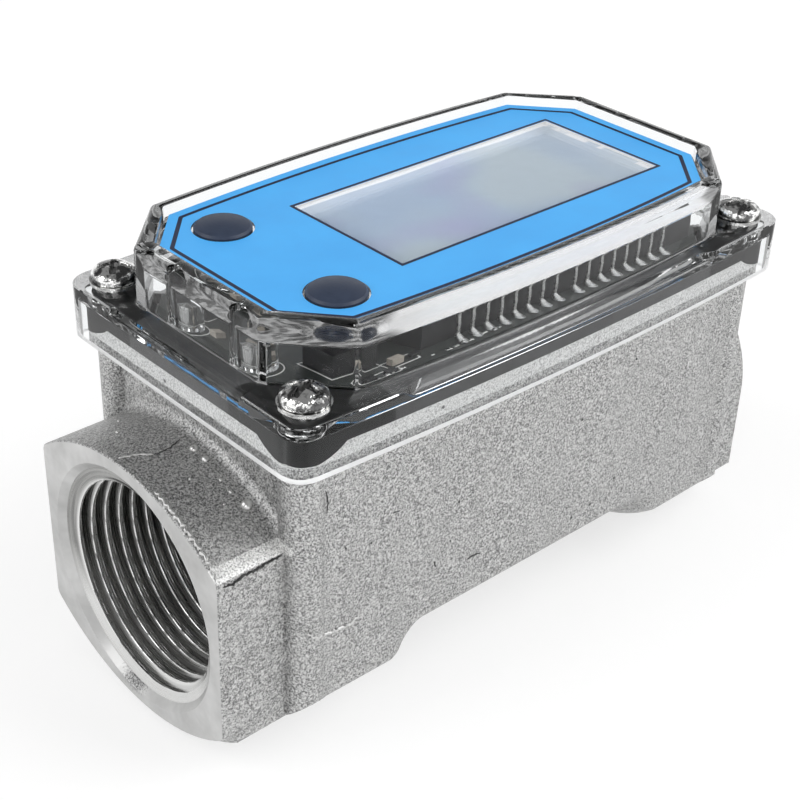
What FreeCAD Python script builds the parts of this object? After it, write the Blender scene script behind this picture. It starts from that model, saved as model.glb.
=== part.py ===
"""Turbine flow meter, one inch ports, with a battery display under a clear cover.

Millimetres. The origin is on the flow axis where the inlet thread's full bore starts,
+X is the flow direction, +Z points out of the display and -Y is the near long side.
"""
import math
import os

import FreeCAD
import Part

# Pipe thread, one inch: largest radius of the internal thread, and its run at each end.
THREAD_R = 16.62
THREAD_RUN = 17.3
MOUTH_R = 18.3
MOUTH_CHAMFER = 1.7

# Body: two end walls, a short outlet boss and the cover's centre between them.
OVERALL = 107.0
INLET_BOSS = 12.2
OUTLET_BOSS = 7.6
BOSS_ROOT = 3.0
INLET_FACE = -MOUTH_CHAMFER
OUTLET_FACE = INLET_FACE + OVERALL
BODY_HALF_LENGTH = (OVERALL - INLET_BOSS - OUTLET_BOSS) / 2
CENTRE = INLET_FACE + INLET_BOSS + BODY_HALF_LENGTH
BODY_HALF_WIDTH = 22.8
BODY_BOW = 1.5
BODY_CORNER = 2.6
PILLAR_R = 3.1
PILLAR_INSET = 1.45
PILLAR_SIDE_INSET = 2.5
PILLAR_Y = BODY_HALF_WIDTH - PILLAR_SIDE_INSET
BLANK_REACH = BODY_HALF_WIDTH + 7.2
SIDE_REACH = max(BODY_HALF_WIDTH + BODY_BOW, PILLAR_Y + PILLAR_R) + 0.5
RIM_TOP = 29.6
RIM_HEIGHT = 2.2
FLAT_HALF = 20.5
FLAT_HALF_HEIGHT = 13.0
CROWN_R = 33.0
FOOT_APEX = -21.7
FOOT_PAD = -21.4
BELLY_APEX = -16.9
BELLY_SPARE = 1.5
FOOT_START = 0.6
FOOT_CHAMFER = 1.8
NEAR_FOOT_END = 24.0
FAR_FOOT_LENGTH = 22.1
FAR_FOOT_START = OUTLET_FACE - FAR_FOOT_LENGTH
FOOT_SLOPE = 4.4
FOOT_STEP_Z = -8.0
FOOT_HOLLOW = 3.0
FOOT_ROUND = 2.5
EDGE_ROUND = 1.5
BOSS_ROUND = 1.6
BOSS_FLARE = 1.6
MOUTH_EDGE = 0.35
FAR_BOSS_ROUND = 5.0

# Turbine bore: seat for each support, throat round the rotor and snap-ring grooves.
SEAT_R = 13.6
THROAT_R = 13.1
THROAT_HALF = 8.0
MOUTH_CONE = 1.7
BORE_END = OUTLET_FACE - MOUTH_CHAMFER - THREAD_RUN - MOUTH_CONE
GROOVE_R = SEAT_R + 1.0
GROOVE_WIDTH = 1.3
GROOVE_GAP = 0.2
GROOVE_LAND = 1.2
SUPPORT_LENGTH = BORE_END - CENTRE - THROAT_HALF - GROOVE_GAP - GROOVE_WIDTH - GROOVE_LAND
RING_T = 1.1

# Electronics pocket in the body.
POCKET_FLOOR = 17.0
POCKET_STEP = 24.0
POCKET_X0 = THREAD_RUN + MOUTH_CONE + 1.0
POCKET_X1 = BORE_END - 0.6
POCKET_HALF_WIDTH = 19.3
WELL_R = 5.6
WELL_FLOOR = 14.9

# Cover: flange, skirt and dome.
FLANGE_HALF_LENGTH = BODY_HALF_LENGTH + 3.65
FLANGE_HALF_WIDTH = BODY_HALF_WIDTH + 2.6
FLANGE_BOW = 1.5
FLANGE_CORNER = 3.2
FLANGE_TOP = 34.2
FLANGE_T = 2.5
SKIRT_BOTTOM = 26.3
SKIRT_T = 1.7
RIM_GAP = 0.3
LEDGE_WIDTH = 1.6
LEDGE_DROP = 1.1
LEDGE_INSET = 16.75
LEDGE_HALF = FLANGE_HALF_LENGTH - LEDGE_INSET
END_LEDGE_WIDTH = 1.0
END_LEDGE_DROP = 0.9
END_LEDGE_HALF = 14.5
DOME = (FLANGE_HALF_LENGTH - 3.85, 13.3, 8.9, FLANGE_HALF_WIDTH - 3.0, 1.45)
DOME_WALL = 2.2
DOME_TOP = 43.1
DOME_EDGE = 1.2
PLATE_TOP = 41.3
PLATE_UNDERSIDE = 39.3
POST_X = DOME[0] - 5.5
POST_Y = 6.8
POST_R = 2.4
POST_HOLE_R = 1.0
RIB_HALF = 0.55
RIB_CLEAR = 0.5

# Gasket between rim and flange.
LOBE_T = 0.6
LOBE_DROP = 2.1
LOBE_BALL = 10.0

# Cover screws, M3 pan head with a washer.
SCREW_X = FLANGE_HALF_LENGTH - 5.25
SCREW_Y = FLANGE_HALF_WIDTH - 4.8
SCREW_R = 1.5
SCREW_HOLE_R = 1.55
SCREW_LENGTH = 15.0
HEAD_R = 3.25
HEAD_H = 2.2
WASHER_T = 0.5
WASHER_R = 3.5

# Label and window.
LABEL = (DOME[0] - 3.0, 11.85, 7.35, DOME[3] - 2.47, 1.35)
LABEL_T = 0.45
LABEL_GAP = 0.35
WINDOW_INSET = 1.98
WINDOW_HALF_WIDTH = 11.28

# Push buttons and the tactile switches under them.
BUTTON_INSET = 13.69
BUTTON_X = CENTRE - DOME[0] + BUTTON_INSET
BUTTON_Y = 12.0
BUTTON_R = 4.05
BUTTON_CLEAR = 0.3
BUTTON_TOP = 42.1
BUTTON_CROWN = 0.7
BUTTON_COLLAR_R = 4.9
BUTTON_COLLAR_T = 1.0
BUTTON_TRAVEL = 0.6
SWITCH_SIZE = 6.0
SWITCH_H = 3.5
PLUNGER_R = 1.7
PLUNGER_TOP = 37.4
PLUNGER_LENGTH = 2.8

# Circuit board and display.
BOARD = (DOME[0] - 3.2, 11.6, 7.4, DOME[3] - 3.2, 1.2)
BOARD_TOP = 32.4
BOARD_T = 1.6
BOARD_SCREW_HEAD_R = 1.9
BOARD_SCREW_HEAD_H = 1.3
BOARD_SCREW_LENGTH = 6.0
GLASS_FROM_BUTTON = 9.87
GLASS_POST_GAP = 0.54
GLASS_START = BUTTON_X + GLASS_FROM_BUTTON
GLASS_END = CENTRE + POST_X - POST_R - GLASS_POST_GAP
GLASS_HALF_LENGTH = (GLASS_END - GLASS_START) / 2
WINDOW_X = (GLASS_START + GLASS_END) / 2
WINDOW_HALF_LENGTH = GLASS_HALF_LENGTH - WINDOW_INSET
GLASS_HALF_WIDTH = 16.0
GLASS_INSET = 0.4
GLASS_TOP = 38.9
GLASS_T = 1.8
REFLECTOR_T = 0.3
FRAME_WALL = 2.2
PIN_PITCH = 2.64
PIN_GAP = 3.9
PIN_SHIFT = -0.9
PINS_PER_GROUP = 8
PIN_Y = GLASS_HALF_WIDTH + 0.65
SOLDER_H = 0.8
CHIP_X = GLASS_START - 3.8
CHIP_HALF_LENGTH = 2.6
CHIP_HALF_WIDTH = 3.6
CHIP_H = 1.4
LEG_REACH = 0.8
LEG_PITCH = 1.3
CRYSTAL_HALF_LENGTH = 3.2
CRYSTAL_HALF_WIDTH = 1.6
CRYSTAL_Y = -6.8
CRYSTAL_H = 2.4
CHIP_EDGE = 2.8
CAP_HALF_LENGTH = 1.0
CAP_HALF_WIDTH = 0.65
CAP_H = 1.1
CAP_SHIFT = 0.9
CAP_FAR = 8.5
CAP_Y = 3.0
CAP_POST_GAP = 2.4
RESISTOR_HALF_LENGTH = 0.8
RESISTOR_HALF_WIDTH = 0.45
RESISTOR_H = 0.5
RESISTOR_EDGE = 1.0
RESISTOR_FIRST = 6.6
RESISTOR_SECOND = 3.2
RESISTOR_THIRD = 1.5
RESISTOR_PAIR = 1.3
RESISTOR_Y = 6.8
RESISTOR_LAST = 2.4

# Cells, tray and contacts.
CELL_R = 5.2
NUB_R = 1.9
NUB_LENGTH = 1.0
CELL_Y = 12.9
CELL_Z = 23.85
TRAY_FLOOR = 17.15
TRAY_T = 1.2
TRAY_TOP = 26.2
TRAY_HALF = POCKET_X1 - CENTRE - 4.2
TRAY_WALL = 1.4
CONTACT_ROOM = 4.2
CELL_LENGTH = 2 * (TRAY_HALF - TRAY_WALL) - NUB_LENGTH - CONTACT_ROOM
CONTACT_T = 0.4
CONTACT_LOW = 19.0
CONTACT_HIGH = 28.2

# Pickup over the rotor.
BOBBIN_R = 5.2
BOBBIN_BOTTOM = 15.0
BOBBIN_TOP = 26.0
BOBBIN_FLANGE = 0.8
BOBBIN_TUBE_R = 2.4
CORE_R = 1.5
COIL_R = 4.8

# Rotor, shaft and supports.
SHAFT_R = 1.5
SHAFT_HALF = THROAT_HALF + SUPPORT_LENGTH - 6.3
HUB_R = 4.9
ROTOR_HALF = 5.6
ROTOR_TIP_R = 12.4
BLADES = 6
BLADE_T = 1.2
BLADE_TWIST = 56.0
BUSH_R = 2.7
BUSH_BORE_R = 1.55
BUSH_LENGTH = 3.4
MAGNET_R = 1.0
THRUST_T = 0.8
THRUST_GAP = 0.1
VANES = 5
VANE_T = 1.2
SUPPORT_RING_T = 1.2
NOSE_LENGTH = 4.0
EAR_R = 1.9
EAR_HOLE_R = 0.8
EAR_Y = 4.6
EAR_Z = SEAT_R - 2.7
RING_GAP = 3.2

# Face contact and slip between stationary pieces.
TOUCH = 0.02
SLIP = 0.05
TAN_HALF_45 = 0.41421


def vec(x, y, z):
    return FreeCAD.Vector(x, y, z)


def box(x0, x1, y0, y1, z0, z1):
    return Part.makeBox(x1 - x0, y1 - y0, z1 - z0, vec(x0, y0, z0))


def rod_x(r, x0, x1, y=0.0, z=0.0):
    return Part.makeCylinder(r, x1 - x0, vec(x0, y, z), vec(1, 0, 0))


def rod_z(r, x, y, z0, z1):
    return Part.makeCylinder(r, z1 - z0, vec(x, y, z0), vec(0, 0, 1))


def tube_x(r_out, r_in, x0, x1):
    return rod_x(r_out, x0, x1).cut(rod_x(r_in, x0 - 1, x1 + 1))


def tube_z(r_out, r_in, x, y, z0, z1):
    return rod_z(r_out, x, y, z0, z1).cut(rod_z(r_in, x, y, z0 - 1, z1 + 1))


def turned_x(points):
    """Solid of revolution about the flow axis from (x, r) points."""
    wire = Part.makePolygon([vec(x, 0, r) for x, r in points + points[:1]])
    return Part.Face(wire).revolve(vec(0, 0, 0), vec(1, 0, 0), 360)


def turned_z(x, y, points):
    """Solid of revolution about a vertical axis from (r, z) points."""
    wire = Part.makePolygon([vec(x + r, y, z) for r, z in points + points[:1]])
    return Part.Face(wire).revolve(vec(x, y, 0), vec(0, 0, 1), 360)


def raised(edges, z0, z1):
    """Vertical prism on a closed outline drawn at z = 0."""
    face = Part.Face(Part.Wire(edges))
    face.translate(vec(0, 0, z0))
    return face.extrude(vec(0, 0, z1 - z0))


def bowed_side(x0, x1, y, bow):
    apex = y + math.copysign(bow, y)
    return Part.Arc(vec(x0, y, 0), vec((x0 + x1) / 2, apex, 0), vec(x1, y, 0)).toShape()


def bowed_block(half_length, half_width, bow, corner, z0, z1):
    """Upright block with straight ends, bowed long sides and rounded corners."""
    x0 = CENTRE - half_length
    x1 = CENTRE + half_length
    w = half_width
    edges = [
        bowed_side(x0, x1, -w, bow),
        Part.makeLine(vec(x1, -w, 0), vec(x1, w, 0)),
        bowed_side(x1, x0, w, bow),
        Part.makeLine(vec(x0, w, 0), vec(x0, -w, 0)),
    ]
    block = raised(edges, z0, z1)
    return rounded_uprights(block, corner)


def rim_block(inset, z0, z1):
    """Block on the rim's outline, moved inwards by inset."""
    side = SKIRT_T + RIM_GAP + inset
    return bowed_block(FLANGE_HALF_LENGTH - side, FLANGE_HALF_WIDTH - side, FLANGE_BOW, FLANGE_CORNER, z0, z1)


def rounded_uprights(block, radius):
    """Rounds every upright edge of a block."""
    upright = []
    for edge in block.Edges:
        ends = [v.Point for v in edge.Vertexes]
        if len(ends) == 2 and math.hypot(ends[0].x - ends[1].x, ends[0].y - ends[1].y) < 1e-6:
            upright.append(edge)
    return block.makeFillet(radius, upright)


def eight_sided(shape, z0, z1):
    """Eight-sided prism: (half length, half end width, corner run, half width, bow)."""
    length, end, run, width, bow = shape
    x0 = CENTRE - length
    x1 = CENTRE + length
    edges = [
        bowed_side(x0 + run, x1 - run, -width, bow),
        Part.makeLine(vec(x1 - run, -width, 0), vec(x1, -end, 0)),
        Part.makeLine(vec(x1, -end, 0), vec(x1, end, 0)),
        Part.makeLine(vec(x1, end, 0), vec(x1 - run, width, 0)),
        bowed_side(x1 - run, x0 + run, width, bow),
        Part.makeLine(vec(x0 + run, width, 0), vec(x0, end, 0)),
        Part.makeLine(vec(x0, end, 0), vec(x0, -end, 0)),
        Part.makeLine(vec(x0, -end, 0), vec(x0 + run, -width, 0)),
    ]
    return raised(edges, z0, z1)


def shrunk(shape, d):
    """The same eight-sided outline, moved inwards by d on every side."""
    length, end, run, width, bow = shape
    return (length - d, end - TAN_HALF_45 * d, run - (1 - TAN_HALF_45) * d, width - d, bow)


def crowned(half_width, top, apex, x0, x1):
    """Block along X with a flat top and a shallow arc below."""
    drop = CROWN_R - math.sqrt(CROWN_R ** 2 - half_width ** 2)
    edges = [
        Part.makeLine(vec(x0, -half_width, top), vec(x0, half_width, top)),
        Part.makeLine(vec(x0, half_width, top), vec(x0, half_width, apex + drop)),
        Part.Arc(vec(x0, half_width, apex + drop), vec(x0, 0, apex),
                 vec(x0, -half_width, apex + drop)).toShape(),
        Part.makeLine(vec(x0, -half_width, apex + drop), vec(x0, -half_width, top)),
    ]
    return Part.Face(Part.Wire(edges)).extrude(vec(x1 - x0, 0, 0))


def along_y(points, half_width):
    """Block from an (x, z) outline, across the body."""
    wire = Part.makePolygon([vec(x, -half_width, z) for x, z in points + points[:1]])
    return Part.Face(wire).extrude(vec(0, 2 * half_width, 0))


def corners(dx, dy):
    return [(CENTRE + sx * dx, sy * dy) for sx in (-1, 1) for sy in (-1, 1)]


def save(name, shapes):
    shape = shapes[0] if len(shapes) == 1 else Part.makeCompound(shapes)
    for solid in shape.Solids:
        if not solid.isValid() or solid.Volume < 1e-4:
            raise SystemExit(name + ": bad solid")
    if len(shapes) == 1 and len(shape.Solids) != 1:
        raise SystemExit(name + ": " + str(len(shape.Solids)) + " solids")
    shape.exportStep("parts/" + name + ".step")


# Cast body

def edges_where(shape, test):
    return [e for e in shape.Edges if test(e.CenterOfMass, e.BoundBox)]


def inlet_boss():
    """Boss with two wrench flats, a shallow arc above and below, and soft edges."""
    drop = CROWN_R - math.sqrt(CROWN_R ** 2 - FLAT_HALF ** 2)
    apex = FLAT_HALF_HEIGHT + drop
    lower = crowned(FLAT_HALF, 0, -apex, INLET_FACE, CENTRE - BODY_HALF_LENGTH + BOSS_ROOT)
    upper = lower.mirror(vec(0, 0, 0), vec(0, 0, 1))
    boss = lower.fuse(upper).removeSplitter()
    long_edges = edges_where(boss, lambda c, b: b.XLength > BOSS_ROOT and abs(c.y) > FLAT_HALF - 0.1)
    boss = boss.makeFillet(BOSS_ROUND, long_edges)
    rim = edges_where(boss, lambda c, b: b.XLength < 0.01 and c.x < INLET_FACE + 0.1)
    return boss.makeFillet(MOUTH_EDGE, rim)


def outlet_boss():
    """Shorter boss, round above and full below."""
    x0 = CENTRE + BODY_HALF_LENGTH - BOSS_ROOT
    upper = rod_x(FLAT_HALF, x0, OUTLET_FACE)
    lower = crowned(FLAT_HALF, 0, FOOT_APEX, x0, OUTLET_FACE)
    middle = (x0 + OUTLET_FACE) / 2
    edges = edges_where(lower, lambda c, b: abs(c.x - middle) < 0.1 and abs(c.y) > FLAT_HALF - 0.1
                        and c.z < -5)
    lower = lower.makeFillet(FAR_BOSS_ROUND, edges)
    boss = upper.fuse(lower.common(box(x0 - 1, OUTLET_FACE + 1, -BLANK_REACH, BLANK_REACH, FOOT_PAD, 1)))
    return boss.removeSplitter()


def boss_flare(centre_z, radius, x, side):
    """Hollow rounding where the round top of a boss runs into its end wall."""
    r = BOSS_FLARE
    k = r * (1 - math.sqrt(0.5))
    edge = centre_z + radius
    root = x + side * 0.6
    tip = x - side * r
    outline = Part.Wire([
        Part.makeLine(vec(root, 0, edge - 0.6), vec(tip, 0, edge - 0.6)),
        Part.makeLine(vec(tip, 0, edge - 0.6), vec(tip, 0, edge)),
        Part.Arc(vec(tip, 0, edge), vec(x - side * k, 0, edge + k), vec(x, 0, edge + r)).toShape(),
        Part.makeLine(vec(x, 0, edge + r), vec(root, 0, edge + r)),
        Part.makeLine(vec(root, 0, edge + r), vec(root, 0, edge - 0.6)),
    ])
    face = Part.Face(outline)
    face.rotate(vec(0, 0, centre_z), vec(1, 0, 0), -90)
    ring = face.revolve(vec(0, 0, centre_z), vec(1, 0, 0), 180)
    reach = r + 1
    return ring.common(box(x - reach, x + reach, -FLAT_HALF, FLAT_HALF, 2, BLANK_REACH))


def body_outline():
    """Upright block with a pillar for each cover screw, and the wrench flats below the bosses."""
    top = RIM_TOP - RIM_HEIGHT
    block = bowed_block(BODY_HALF_LENGTH, BODY_HALF_WIDTH, BODY_BOW, BODY_CORNER, -BLANK_REACH, RIM_TOP)
    for x, y in corners(BODY_HALF_LENGTH - PILLAR_INSET, PILLAR_Y):
        block = block.fuse(rod_z(PILLAR_R, x, y, -BLANK_REACH, top + 0.5))
    return block.fuse(box(FOOT_START, OUTLET_FACE, -FLAT_HALF, FLAT_HALF, -BLANK_REACH, 1))


def belly_side():
    """Height that the belly's arc reaches at the body's widest, with a little to spare."""
    return BELLY_APEX + CROWN_R - math.sqrt(CROWN_R ** 2 - SIDE_REACH ** 2) + BELLY_SPARE


def belly_cutter():
    """Room under the belly, between the sloping faces of the two feet."""
    run = FOOT_SLOPE / (FOOT_STEP_Z - FOOT_PAD)
    low = -BLANK_REACH
    high = belly_side()
    near = NEAR_FOOT_END - run * (FOOT_PAD - low)
    far = FAR_FOOT_START + run * (FOOT_PAD - low)
    top_run = run * (high - FOOT_PAD)
    outline = [(near, low), (NEAR_FOOT_END + top_run, high), (FAR_FOOT_START - top_run, high), (far, low)]
    belly = crowned(SIDE_REACH + 1, BLANK_REACH, BELLY_APEX, 0, OUTLET_FACE)
    return along_y(outline, BLANK_REACH).cut(belly)


def lower_body():
    """Outline cut to the shallow arc of the feet, with the belly raised between them."""
    body = body_outline().common(crowned(SIDE_REACH, BLANK_REACH, FOOT_APEX, FOOT_START, OUTLET_FACE))
    body = body.cut(belly_cutter()).removeSplitter()
    slope_mid = BELLY_APEX + 2.0
    across = edges_where(body, lambda c, b: b.YLength > 2 * FLAT_HALF and b.XLength < FOOT_SLOPE + 1
                         and NEAR_FOOT_END - 2 < c.x < FAR_FOOT_START + 2 and FOOT_APEX < c.z < slope_mid - 2)
    body = body.makeFillet(FOOT_ROUND, across)
    across = edges_where(body, lambda c, b: b.YLength > 2 * FLAT_HALF and b.XLength < FOOT_SLOPE + 1
                         and NEAR_FOOT_END < c.x < FAR_FOOT_START and slope_mid < c.z < FOOT_STEP_Z)
    body = body.makeFillet(FOOT_HOLLOW, across)
    along = edges_where(body, lambda c, b: b.XLength > 10 and abs(c.y) > FLAT_HALF + 1
                        and BELLY_APEX < c.z < belly_side())
    body = body.makeFillet(EDGE_ROUND, along)
    front = along_y([(FOOT_START - 1, FOOT_PAD - 1), (FOOT_START + FOOT_CHAMFER + 1, FOOT_PAD - 1),
                     (FOOT_START - 1, FOOT_PAD + FOOT_CHAMFER + 1)], BLANK_REACH)
    return body.cut(front)


def body_blank():
    drop = CROWN_R - math.sqrt(CROWN_R ** 2 - FLAT_HALF ** 2)
    inlet_centre = FLAT_HALF_HEIGHT + drop - CROWN_R
    inlet_flare = boss_flare(inlet_centre, CROWN_R, CENTRE - BODY_HALF_LENGTH, 1)
    outlet_flare = boss_flare(0, FLAT_HALF, CENTRE + BODY_HALF_LENGTH, -1)
    rim = rim_block(0, RIM_TOP - RIM_HEIGHT, RIM_TOP)
    blank = lower_body().fuse([inlet_boss(), outlet_boss(), inlet_flare, outlet_flare, rim]).removeSplitter()
    above_pad = box(INLET_FACE - 1, OUTLET_FACE + 1, -BLANK_REACH, BLANK_REACH, FOOT_PAD, RIM_TOP + 1)
    return blank.common(above_pad).removeSplitter()


def bore_cutter():
    """Everything turned out along the flow axis, from mouth to mouth."""
    seat0 = CENTRE - THROAT_HALF
    seat1 = CENTRE + THROAT_HALF
    out = OUTLET_FACE - MOUTH_CHAMFER
    slope = MOUTH_R - THREAD_R
    return turned_x([
        (INLET_FACE - 1, 0), (INLET_FACE - 1, MOUTH_R + slope / MOUTH_CHAMFER), (0, THREAD_R),
        (THREAD_RUN, THREAD_R), (THREAD_RUN + MOUTH_CONE, SEAT_R), (seat0, SEAT_R), (seat0, THROAT_R),
        (seat1, THROAT_R), (seat1, SEAT_R), (BORE_END, SEAT_R),
        (out - THREAD_RUN, THREAD_R), (out, THREAD_R),
        (OUTLET_FACE + 1, MOUTH_R + slope / MOUTH_CHAMFER), (OUTLET_FACE + 1, 0),
    ])


def groove_starts():
    """X of each snap-ring groove, just outside the supports."""
    reach = THROAT_HALF + SUPPORT_LENGTH + GROOVE_GAP
    inlet = CENTRE - reach - GROOVE_WIDTH
    outlet = CENTRE + reach
    return inlet, outlet


def pocket_cutter():
    """Stepped pocket for cells, coil and board."""
    upper = eight_sided(shrunk(DOME, 3.0), POCKET_STEP, RIM_TOP + 1)
    deep = box(POCKET_X0, POCKET_X1, -POCKET_HALF_WIDTH, POCKET_HALF_WIDTH, POCKET_FLOOR, RIM_TOP + 1)
    deep = rounded_uprights(deep, 2.5)
    well = rod_z(WELL_R, CENTRE, 0, WELL_FLOOR, POCKET_FLOOR + 1)
    return upper.fuse([deep, well])


def meter_body():
    body = body_blank().cut(bore_cutter())
    for x in groove_starts():
        body = body.cut(tube_x(GROOVE_R, SEAT_R - 1, x, x + GROOVE_WIDTH))
    body = body.cut(pocket_cutter())
    for x, y in corners(SCREW_X, SCREW_Y):
        body = body.cut(rod_z(SCREW_HOLE_R, x, y, FLANGE_TOP - SCREW_LENGTH, RIM_TOP + 1))
    return body.cut(corner_lobes(SLIP))


# Cover, gasket, label and fasteners

def ledge_cutter(side):
    """Bevel along the flange's outer top edge between two screw pads."""
    radius = (FLANGE_HALF_LENGTH ** 2 + FLANGE_BOW ** 2) / (2 * FLANGE_BOW)
    edge = FLANGE_HALF_WIDTH + FLANGE_BOW
    rise = LEDGE_DROP / LEDGE_WIDTH
    points = [
        (edge - LEDGE_WIDTH - 0.2, FLANGE_TOP + 0.2 * rise),
        (edge + 0.4, FLANGE_TOP - LEDGE_DROP - 0.4 * rise),
        (edge + 0.4, FLANGE_TOP + 0.2 * rise),
    ]
    wire = Part.makePolygon([vec(CENTRE, side * y, z) for y, z in points + points[:1]])
    face = Part.Face(wire)
    middle = vec(CENTRE, side * (edge - radius), 0)
    angle = math.degrees(math.asin(LEDGE_HALF / radius))
    face.rotate(middle, vec(0, 0, 1), -angle)
    return face.revolve(middle, vec(0, 0, 1), 2 * angle)


def end_ledge_cutter(side):
    """Narrower bevel along the flange's top edge at one short end."""
    edge = CENTRE + side * FLANGE_HALF_LENGTH
    rise = END_LEDGE_DROP / END_LEDGE_WIDTH
    return along_y([
        (edge - side * (END_LEDGE_WIDTH + 0.2), FLANGE_TOP + 0.2 * rise),
        (edge + side * 0.4, FLANGE_TOP - END_LEDGE_DROP - 0.4 * rise),
        (edge + side * 0.4, FLANGE_TOP + 0.2 * rise),
    ], END_LEDGE_HALF)


def dome_shell():
    """Raised dome with a rounded top edge and a recess for the label."""
    outer = eight_sided(DOME, FLANGE_TOP - FLANGE_T, DOME_TOP)
    rim = [e for e in outer.Edges if all(abs(v.Point.z - DOME_TOP) < 1e-6 for v in e.Vertexes)]
    outer = outer.makeFillet(DOME_EDGE, rim)
    return outer.cut(eight_sided(shrunk(LABEL, -LABEL_GAP), PLATE_TOP, DOME_TOP + 1))


def cover_posts():
    posts = []
    for x, y in corners(POST_X, POST_Y):
        posts.append(rod_z(POST_R, x, y, BOARD_TOP + TOUCH, PLATE_UNDERSIDE + 0.5))
        x0, x1 = sorted((x, x + (DOME[0] - DOME_WALL - POST_X + 0.5) * (1 if x > CENTRE else -1)))
        posts.append(box(x0, x1, y - RIB_HALF, y + RIB_HALF, BOARD_TOP + RIB_CLEAR, PLATE_UNDERSIDE + 0.5))
    return posts


def clear_cover():
    flange = bowed_block(FLANGE_HALF_LENGTH, FLANGE_HALF_WIDTH, FLANGE_BOW, FLANGE_CORNER, SKIRT_BOTTOM,
                         FLANGE_TOP)
    inside = bowed_block(FLANGE_HALF_LENGTH - SKIRT_T, FLANGE_HALF_WIDTH - SKIRT_T, FLANGE_BOW,
                         FLANGE_CORNER - SKIRT_T + RIM_GAP, SKIRT_BOTTOM - 1, FLANGE_TOP - FLANGE_T)
    flange = flange.cut(inside)
    for side in (-1, 1):
        flange = flange.cut(ledge_cutter(side))
        flange = flange.cut(end_ledge_cutter(side))
    cover = flange.fuse(dome_shell())
    cover = cover.cut(eight_sided(shrunk(DOME, DOME_WALL), SKIRT_BOTTOM, PLATE_UNDERSIDE))
    cover = cover.fuse(cover_posts()).removeSplitter()
    for x, y in corners(POST_X, POST_Y):
        cover = cover.cut(rod_z(POST_HOLE_R, x, y, BOARD_TOP - 1, PLATE_UNDERSIDE - 1))
    for x, y in corners(SCREW_X, SCREW_Y):
        cover = cover.cut(rod_z(SCREW_R + 0.35, x, y, SKIRT_BOTTOM, FLANGE_TOP + 1))
    for y in (-BUTTON_Y, BUTTON_Y):
        cover = cover.cut(rod_z(BUTTON_R + BUTTON_CLEAR, BUTTON_X, y, PLATE_UNDERSIDE - 1, DOME_TOP))
    return cover


def corner_lobes(grow):
    """Thin rounded lobes that hang from the gasket over the rim's corners."""
    top = RIM_TOP + 1
    skin = rim_block(-2 * grow, RIM_TOP - 4, top).cut(rim_block(LOBE_T + grow, RIM_TOP - 5, top + 1))
    lobes = []
    for x, y in corners(FLANGE_HALF_LENGTH - SKIRT_T - 1, FLANGE_HALF_WIDTH - SKIRT_T - 1):
        ball = Part.makeSphere(LOBE_BALL + grow, vec(x, y, RIM_TOP - LOBE_DROP + LOBE_BALL))
        lobes.append(skin.common(ball))
    return Part.makeCompound(lobes)


def gasket():
    """Flat ring on the rim, with a lobe hanging over each corner of the body."""
    top = FLANGE_TOP - FLANGE_T - TOUCH
    bottom = RIM_TOP + TOUCH
    ring = rim_block(0, bottom, top)
    ring = ring.fuse(corner_lobes(0).Solids).removeSplitter()
    ring = ring.cut(eight_sided(shrunk(DOME, 2.3), bottom - 1, top + 1))
    for x, y in corners(SCREW_X, SCREW_Y):
        ring = ring.cut(rod_z(SCREW_R + 0.35, x, y, bottom - 1, top + 1))
    return ring


def face_label():
    label = eight_sided(LABEL, PLATE_TOP + TOUCH, PLATE_TOP + LABEL_T)
    label = label.cut(box(WINDOW_X - WINDOW_HALF_LENGTH, WINDOW_X + WINDOW_HALF_LENGTH,
                          -WINDOW_HALF_WIDTH, WINDOW_HALF_WIDTH, PLATE_TOP - 1, DOME_TOP))
    for y in (-BUTTON_Y, BUTTON_Y):
        label = label.cut(rod_z(BUTTON_R + BUTTON_CLEAR, BUTTON_X, y, PLATE_TOP - 1, DOME_TOP))
    return label


def cross_recess(x, y, top, reach, depth):
    """Four-winged driver recess that narrows with depth."""
    wings = []
    for turn in (0, 90):
        wide = Part.makePolygon([vec(-reach, -0.32, 0.1), vec(reach, -0.32, 0.1), vec(reach, 0.32, 0.1),
                                 vec(-reach, 0.32, 0.1), vec(-reach, -0.32, 0.1)])
        low = reach * 0.55
        narrow = Part.makePolygon([vec(-low, -0.22, -depth), vec(low, -0.22, -depth), vec(low, 0.22, -depth),
                                   vec(-low, 0.22, -depth), vec(-low, -0.22, -depth)])
        wing = Part.makeLoft([wide, narrow], True, True)
        wing.rotate(vec(0, 0, 0), vec(0, 0, 1), turn + 20)
        wing.translate(vec(x, y, top))
        wings.append(wing)
    return wings[0].fuse(wings[1])


def cover_screw(x, y):
    """Pan head with a rolled edge, driver recess and shank."""
    z0 = FLANGE_TOP + WASHER_T + TOUCH
    z1 = z0 + HEAD_H
    tip = FLANGE_TOP - SCREW_LENGTH + 0.5
    profile = [(0, tip), (SCREW_R - 0.5, tip), (SCREW_R, tip + 0.6), (SCREW_R, z0), (HEAD_R - 0.15, z0),
               (HEAD_R, z0 + 0.35), (HEAD_R, z0 + 0.9), (HEAD_R - 0.35, z0 + 1.5), (HEAD_R - 1.1, z0 + 1.95),
               (HEAD_R - 2.1, z1), (0, z1)]
    return turned_z(x, y, profile).cut(cross_recess(x, y, z1, 1.75, 1.3))


def cover_screws():
    return [cover_screw(x, y) for x, y in corners(SCREW_X, SCREW_Y)]


def screw_washers():
    z0 = FLANGE_TOP + TOUCH
    z1 = z0 + WASHER_T - TOUCH
    return [tube_z(WASHER_R, SCREW_R + 0.2, x, y, z0, z1) for x, y in corners(SCREW_X, SCREW_Y)]


# Buttons and switches

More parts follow.
